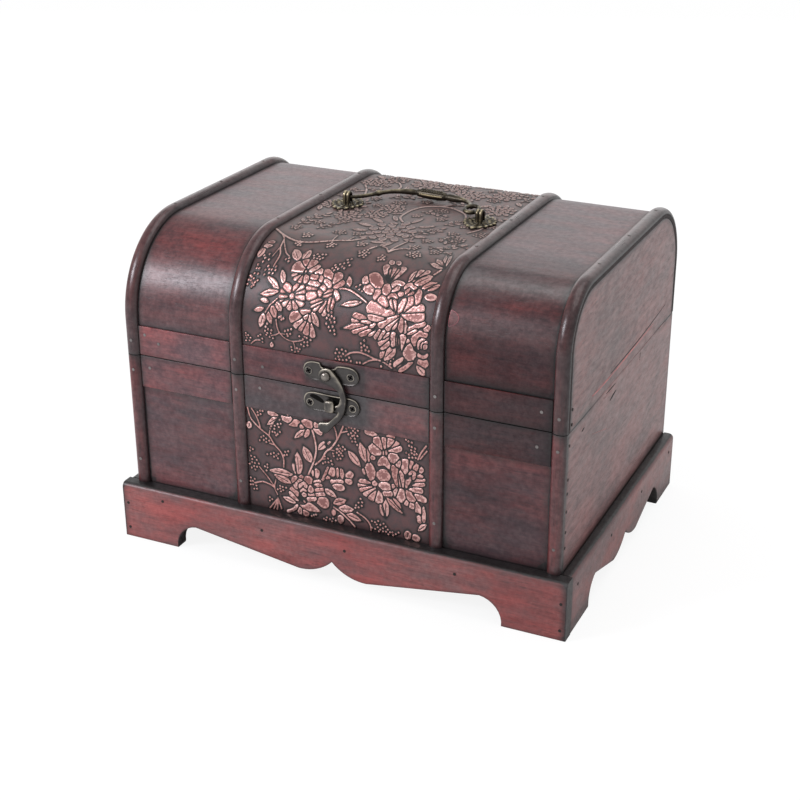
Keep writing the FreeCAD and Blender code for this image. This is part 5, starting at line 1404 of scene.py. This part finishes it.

# Screw heads, with dark bars painted as the shade in their cross slots
SCREW_ROWS = [(2.6, 0.3, -0.5), (2.5, 0.84, -0.4), (2.15, 0.95, 0.75), (1.6, 0.92, 0.15), (0.5, 0.88, -0.2)]
SLOT_LOW, SLOT_HIGH = (-1.75, -0.98, -0.5), (1.75, -0.6, 0.5)
for tag, body, node, places in (("plate", "lid", "latch_plate_screws", [(-15.2, 130.5), (10.9, 130.6)]),
                                ("keeper", "box", "latch_keeper_screws", [(-14.8, 111.4), (11.8, 112.0)])):
    heads, slots = Metal(), Metal()
    for k, (x, z) in enumerate(places):
        heads.turned(x, z, SCREW_ROWS, 24)
        for turn in (0.5 + 0.6 * k, 0.5 + 0.6 * k + math.pi / 2):
            points, faces = rounded_box(SLOT_LOW, SLOT_HIGH, 0.12, 0.5)
            c, t = math.cos(turn), math.sin(turn)
            px, py, pz = points.T
            slots.put(np.stack([x + c * px - t * pz, STRIP_FACE + py, z + t * px + c * pz], -1), faces, 0.0)
    heads.finish("look_latch_%s_screws" % tag, body, [node])
    slots.finish("look_latch_%s_slots" % tag, body, [], painted_slot_shade)

# Hook, from its rivet: its tip bends away from the keeper
HOOK = [
    (-3.6, 0.4), (-2.2, 3.6), (1.0, 5.1), (4.0, 4.6), (6.1, 2.6), (8.2, 0.3), (10.3, -2.7), (11.8, -5.7),
    (12.8, -9.1), (13.2, -12.7), (12.8, -16.4), (12.0, -19.9), (10.5, -23.2), (8.3, -26.1), (6.2, -28.3),
    (4.5, -30.3), (2.8, -32.4), (0.8, -33.9), (-1.4, -33.6), (-3.2, -32.4), (-4.2, -30.6), (-4.0, -28.9),
    (-2.4, -28.0), (1.4, -27.5), (3.4, -26.0), (5.8, -23.5), (7.5, -21.6), (8.0, -19.8), (7.2, -18.4),
    (6.2, -17.6), (6.6, -16.5), (8.2, -15.6), (9.2, -13.4), (9.5, -10.6), (8.9, -8.4), (7.7, -7.0),
    (5.9, -6.1), (3.8, -5.4), (1.1, -4.7), (-1.3, -3.6), (-3.0, -1.8),
]
HOOK_STEPS = [(0.0, 0.0, 0.0), (0.0, 1.2, 0.4), (0.28, 1.65, 0.8), (0.7, 1.8, 0.5), (1.4, 1.86, 0.35)]
HOOK_BEND, HOOK_TIP, HOOK_LIFT = 25.5, 6.0, 1.5
hook = Metal()
hook.plate([(RIVET[0] + x, RIVET[1] + z) for x, z in HOOK[::-1]], PLATE_FACE - 0.2, HOOK_STEPS, 170,
           lambda q: HOOK_LIFT * np.clip((RIVET[1] - HOOK_BEND - q[:, 1]) / HOOK_TIP, 0, 1) ** 2)
hook.finish("look_latch_hook", "hook", ["latch_hook"])

# The rivet's head sits a little off the hook's axis
RIVET_ROWS = [(1.5, 0.0, 0.0), (1.5, 3.4, 0.0), (2.9, 3.45, 0.2), (3.0, 3.8, 0.3), (2.7, 4.5, 0.5),
              (2.1, 5.15, 0.6), (1.3, 5.55, 0.7), (0.5, 5.72, 0.8), (0.1, 5.74, 0.8)]
rivet = Metal()
rivet.turned(RIVET[0] + RIVET_SHIFT[0], RIVET[1] + RIVET_SHIFT[1], RIVET_ROWS, 28)
rivet.finish("look_latch_rivet", "lid", ["latch_rivet"], dome, 60)

# Handle: lozenge rosettes, looped posts, and the bail with its leaf-shaped grip
ROSETTE_X, ROSETTE_Y, ROSETTE_POWER, ROSETTE_LEAVES = 9.6, 12.6, 1.45, 16
ROSETTE_ROWS = [(1.0, 0.0, 0.0, 0.1), (1.0, 0.6, 0.3, 0.5), (0.93, 0.75, 0.45, 1.0), (0.85, 0.65, 0.5, 0.5),
                (0.75, 0.45, 0.6, 0.2), (0.64, 0.5, 0.7, 0.7), (0.55, 0.75, 0.3, 0.9),
                (0.46, 0.5, -0.25, 0.1), (0.38, 0.7, 0.5, 0.6), (0.28, 1.1, 0.0, 0.6)]
POST_RADIUS, POST_HALF, POST_DROP = 1.9, 2.2, 3.3


def add_rosette(tag, x, y):
    """Rows from the rim inwards: share of the reach, height, height of the leaves, edge wear."""
    a = circle(96)
    reach = (np.abs(np.cos(a) / ROSETTE_X) ** ROSETTE_POWER
             + np.abs(np.sin(a) / ROSETTE_Y) ** ROSETTE_POWER) ** (-1 / ROSETTE_POWER)
    wave = np.cos(ROSETTE_LEAVES * a)
    leafy = 0.5 + 0.5 * wave
    rings, wear = [], []
    for share, base, bump, worn in ROSETTE_ROWS:
        r = reach * share * (1 + 0.07 * wave if share > 0.7 else 1 + 0.05 * np.cos(8 * a))
        z = PANEL_FACE + base + bump * leafy * (share < 1)
        rings.append(np.stack([x + r * np.cos(a), y + r * np.sin(a), z], -1))
        wear.append(worn * (0.35 + 0.65 * leafy))
    rosette = Metal()
    rosette.put(*loft(rings), np.concatenate(wear))
    rosette.finish("look_handle_rosette_" + tag, "lid", ["handle_rosette_" + tag], handle_metal, 60)


def add_post(tag, x, y):
    """A strap with two ribs, bent over the bail's end."""
    across = np.linspace(-POST_HALF, POST_HALF, 17)
    rib = np.sqrt(np.clip(1 - ((np.abs(across) - 1.1) / 1.12) ** 2, 0, 1))
    high = 0.2 + 0.55 * rib
    leg = [AXIS_Z - POST_DROP, AXIS_Z - 1.5]
    path = [(-POST_RADIUS, z, -1.0, 0.0) for z in leg]
    path += [(-POST_RADIUS * math.cos(t), AXIS_Z + 1.0 + POST_RADIUS * math.sin(t), -math.cos(t), math.sin(t))
             for t in np.linspace(0, math.pi, 13)]
    path += [(POST_RADIUS, z, 1.0, 0.0) for z in leg[::-1]]
    rings, wear = [], []
    for back, z, ny, nz in path:
        outer = np.stack([x + across, y + back + ny * high, z + nz * high], -1)
        flat = np.zeros(len(across))
        inner = np.stack([x + across[::-1], y + back - 0.45 * ny + flat, z - 0.45 * nz + flat], -1)
        rings.append(np.concatenate([outer, inner]))
        top = np.clip((z - AXIS_Z) / 3.0, 0, 1)
        wear.append(np.concatenate([rib ** 3 * (0.45 + 0.4 * top), 0 * rib]))
    post = Metal()
    post.put(*loft(rings), np.concatenate(wear))
    post.finish("look_handle_post_" + tag, "lid", ["handle_post_" + tag], handle_metal, 60)


for side, tag in SIDES:
    place = HANDLE_OFFSET + side * HANDLE_X, HANDLE_Y - POST_SHIFT[tag]
    add_rosette(tag, *place)
    add_post(tag, *place)

# Bail, from the handle's middle and axis: rows of across, back, up, radius and edge wear
BAIL_LEFT = [
    (-45.4, 0.0, 0.0, 1.0, 0.2), (-41.5, 0.2, 0.0, 1.0, 0.2), (-38.0, 2.6, -0.1, 1.15, 0.5),
    (-35.0, 6.2, -0.2, 1.25, 0.7), (-32.6, 10.4, -0.4, 1.15, 0.6), (-31.4, 13.6, -0.5, 1.25, 0.5),
    (-30.4, 16.0, -0.6, 1.9, 0.9), (-28.6, 18.4, -0.65, 1.25, 0.5), (-26.2, 21.6, -0.7, 1.3, 0.6),
    (-22.6, 24.6, -0.8, 1.5, 0.6), (-20.0, 25.9, -0.85, 1.5, 0.5),
]
GRIP = [
    (-21.5, 25.2, -0.8, 1.4, 0.45), (-17.5, 26.9, -0.9, 1.7, 0.35), (-13.0, 27.8, -0.95, 1.9, 0.4),
    (-10.6, 28.0, -0.95, 1.55, 0.1), (-9.2, 28.0, -0.95, 2.3, 0.4), (-5.0, 27.8, -0.95, 2.8, 0.15),
    (0.0, 27.3, -0.95, 3.0, 0.1), (5.0, 26.8, -0.95, 2.8, 0.15), (9.0, 26.3, -0.95, 2.5, 0.4),
    (10.4, 26.1, -0.95, 1.9, 0.1), (12.4, 25.9, -0.95, 2.3, 0.35), (17.0, 25.2, -0.9, 2.1, 0.3),
    (21.0, 24.2, -0.8, 1.5, 0.4), (24.4, 22.6, -0.75, 0.8, 0.5),
]
BAIL_RIGHT = [
    (21.6, 24.0, -0.8, 1.4, 0.6), (25.4, 21.4, -0.7, 1.25, 0.6), (28.6, 17.6, -0.6, 1.2, 0.5),
    (30.6, 14.0, -0.5, 1.35, 0.6), (32.2, 11.2, -0.4, 1.2, 0.5),
]
RING_X, RING_BACK = 34.2, 7.4
RIGHT_END = [(37.4, 3.8), (39.4, 1.6), (41.6, 0.2), (45.4, 0.0)]
bail = Metal()


def on_bail(x, back, up=0.0):
    """A place measured from the handle's middle and axis."""
    return HANDLE_OFFSET + x, HANDLE_Y + back, AXIS_Z + up


for rows, count in ((BAIL_LEFT, 60), (GRIP, 64), (BAIL_RIGHT, 30)):
    bail.tube([on_bail(*r[:3]) for r in rows], [r[3] for r in rows], [r[4] for r in rows], 14, count)
a = np.linspace(0, TURN, 33)
ring = [on_bail(RING_X + 4.1 * math.cos(t), RING_BACK + 4.9 * math.sin(t), -0.2 + 0.5 * math.sin(t))
        for t in a]
bail.tube(ring, np.full(len(a), 1.3), 0.3 + 0.25 * np.sin(3 * a), 10)
bail.tube([on_bail(*p) for p in RIGHT_END], [1.1, 1.05, 1.0, 1.0], 0.2, 10, 16)
for t in np.linspace(0, 1, 15):
    bail.ball(on_bail(-7.2 + 14.4 * t, 25.7 - 1.5 * t - 0.6 * math.sin(math.pi * t), -0.9), 0.62, 1.3, n=6)
for t in np.linspace(0, 1, 9):
    for way in (-1, 0, 1):
        place = on_bail(-6.5 + 13 * t + 0.7 * abs(way), 27.9 - 1.4 * t + 1.7 * way, 1.65 - 0.6 * abs(way))
        bail.ball(place, 0.85, 0.25, (1.0, 1.3, 0.8), n=6)
bail.finish("look_handle_bail", "handle", ["handle_bail"], handle_metal, 50)

# Creases in the finish of the right end, beside the seam: points (y, z), width, red share, stain
CREASES = {
    "lid": [([(-58, 126.4), (-40, 125.7), (-9, 125.9), (20, 126.7), (58, 127.5)], 1.6, 1.0, 3.6),
            ([(-26, 127.3), (10, 127.7), (40, 128.7), (82, 131.6)], 1.1, 0.0, 0.05),
            ([(-52, 127.6), (-36, 126.9)], 0.9, 0.0, 3.0)],
    "box": [([(-33, 117.6), (-16, 117.4)], 1.1, 0.0, 0.03), ([(-25, 110.4), (-14, 112.5)], 2.0, 0.0, 0.02),
            ([(-37, 116.2), (-22, 115.6)], 1.0, 0.1, 3.0), ([(31, 113.8), (32.3, 118.2)], 0.9, 0.0, 0.05),
            ([(-74, 112.2), (-70, 112.9)], 1.6, 0.0, 0.03), ([(-55, 102.5), (-27, 94.1)], 0.7, 0.8, 1.8),
            ([(70, 119.6), (84, 119.5)], 0.8, 0.0, 3.0)],
}
CREASE_FACE = {"lid": END_FACE, "box": node_box("box_right_end")[1][0]}
CREASE_RING = [(-1.0, -0.1), (-0.5, 0.1), (0.0, 0.14), (0.5, 0.1), (1.0, -0.1), (0.0, -0.15)]
CREASE_STEPS = 28
taper = np.sin(np.linspace(0.06, 0.97, CREASE_STEPS) * math.pi) ** 0.6
for body, rows in CREASES.items():
    points, faces, size = [], [], CREASE_STEPS * len(CREASE_RING)
    for line, width, _, _ in rows:
        spine = curve(line, CREASE_STEPS)
        p, f = loft([[(CREASE_FACE[body] + h, y, z + k * w) for k, h in CREASE_RING]
                     for (y, z), w in zip(spine, 0.5 * width * taper)])
        faces += [[i + size * len(points) for i in face] for face in f]
        points.append(p)
    points = np.concatenate(points)
    red, stain = (np.repeat([row[k] for row in rows], size) for k in (2, 3))
    add("look_%s_creases" % body, points, faces, end_wood, body, [],
        wood_attrs(points, "y", 20.0, 0.0, red, stain, np.clip(stain, 0.1, 1.0)))

# Materials of the CAD pieces that stay
for node, obj in nodes.items():
    if node in ("plinth_nails", "box_end_nails", "lid_end_nails"):
        chosen = pin_dark
    elif node.endswith("nails"):
        chosen = steel
    elif node.startswith(("latch", "handle", "hinge")):
        chosen = metal
    elif "embossed" in node:
        chosen = embossed
    else:
        chosen = mahogany
    obj.data.materials.clear()
    obj.data.materials.append(chosen)

# Stage: white floor and surroundings
floor_mat, tree = new_material("floor_white")
n = Nodes(tree)
path = n.put("ShaderNodeLightPath")
diffuse = n.put("ShaderNodeBsdfDiffuse", {"Color": (0.86, 0.86, 0.86, 1.0)})
glow = n.put("ShaderNodeEmission", {"Color": (1.0, 1.0, 1.0, 1.0), "Strength": 1.07})
share = n.times(path.outputs["Is Camera Ray"], 0.82)
both = n.put("ShaderNodeMixShader", {0: share, 1: diffuse.outputs[0], 2: glow.outputs[0]})
n.put("ShaderNodeOutputMaterial", {"Surface": both.outputs[0]})
floor = bpy.data.objects.new("floor", bpy.data.meshes.new("floor"))
floor.data.from_pydata([(-6, -6, 0), (6, -6, 0), (6, 6, 0), (-6, 6, 0)], [], [(0, 1, 2, 3)])
floor.data.materials.append(floor_mat)
bpy.context.scene.collection.objects.link(floor)
floor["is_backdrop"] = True

world = bpy.data.worlds.new("studio")
bpy.context.scene.world = world
world.use_nodes = True
world.node_tree.nodes.clear()
n = Nodes(world.node_tree)
path = n.put("ShaderNodeLightPath")
strength = n.total((path.outputs["Is Camera Ray"], 0.3), base=0.7)
sky = n.put("ShaderNodeBackground", {"Color": (1.0, 1.0, 1.0, 1.0), "Strength": strength})
n.put("ShaderNodeOutputWorld", {"Surface": sky.outputs[0]})

# Lights and camera

def pose(right, up, back, place):
    """A matrix from three axes and a place."""
    m = Matrix.Identity(4)
    for k in range(3):
        m[k][0], m[k][1], m[k][2], m[k][3] = right[k], up[k], back[k], place[k]
    return m


def area_light(name, place, target, size, watts, colour=(1.0, 1.0, 1.0)):
    """A soft light with a rectangular face that looks at a target."""
    data = bpy.data.lights.new(name, "AREA")
    data.shape = "RECTANGLE"
    data.size, data.size_y = size
    data.energy = watts
    data.color = colour
    obj = bpy.data.objects.new(name, data)
    back = (np.array(place) - np.array(target)).astype(float)
    back /= np.linalg.norm(back)
    right = np.cross([0, 0, 1], back)
    right /= np.linalg.norm(right)
    obj.matrix_world = pose(right, np.cross(back, right), back, place)
    bpy.context.scene.collection.objects.link(obj)


area_light("key", (-0.97, -1.08, 0.92), (-0.08, -0.1, 0.15), (0.42, 0.5), 13.0, (0.93, 0.93, 1.0))
area_light("top", (0.15, 0.1, 1.6), (0, 0, 0.1), (1.4, 1.0), 6.0)
area_light("back", (-0.55, 1.55, 0.62), (0, 0, 0.2), (2.2, 0.7), 3.4)

CAMERA_RIGHT, CAMERA_UP = (0.905797, 0.423700, -0.003132), (-0.170825, 0.371937, 0.912404)
CAMERA_BACK, CAMERA_PLACE = (0.387751, -0.825918, 0.409278), (0.35704, -0.77227, 0.45671)
camera = bpy.data.cameras.new("camera")
camera.sensor_width = 36.0
camera.lens = 67.68
camera.clip_start = 0.01
view = bpy.data.objects.new("camera", camera)
view.matrix_world = pose(CAMERA_RIGHT, CAMERA_UP, CAMERA_BACK, CAMERA_PLACE)
bpy.context.scene.collection.objects.link(view)
bpy.context.scene.camera = view
bpy.context.scene.view_settings.view_transform = "Standard"

low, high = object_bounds()
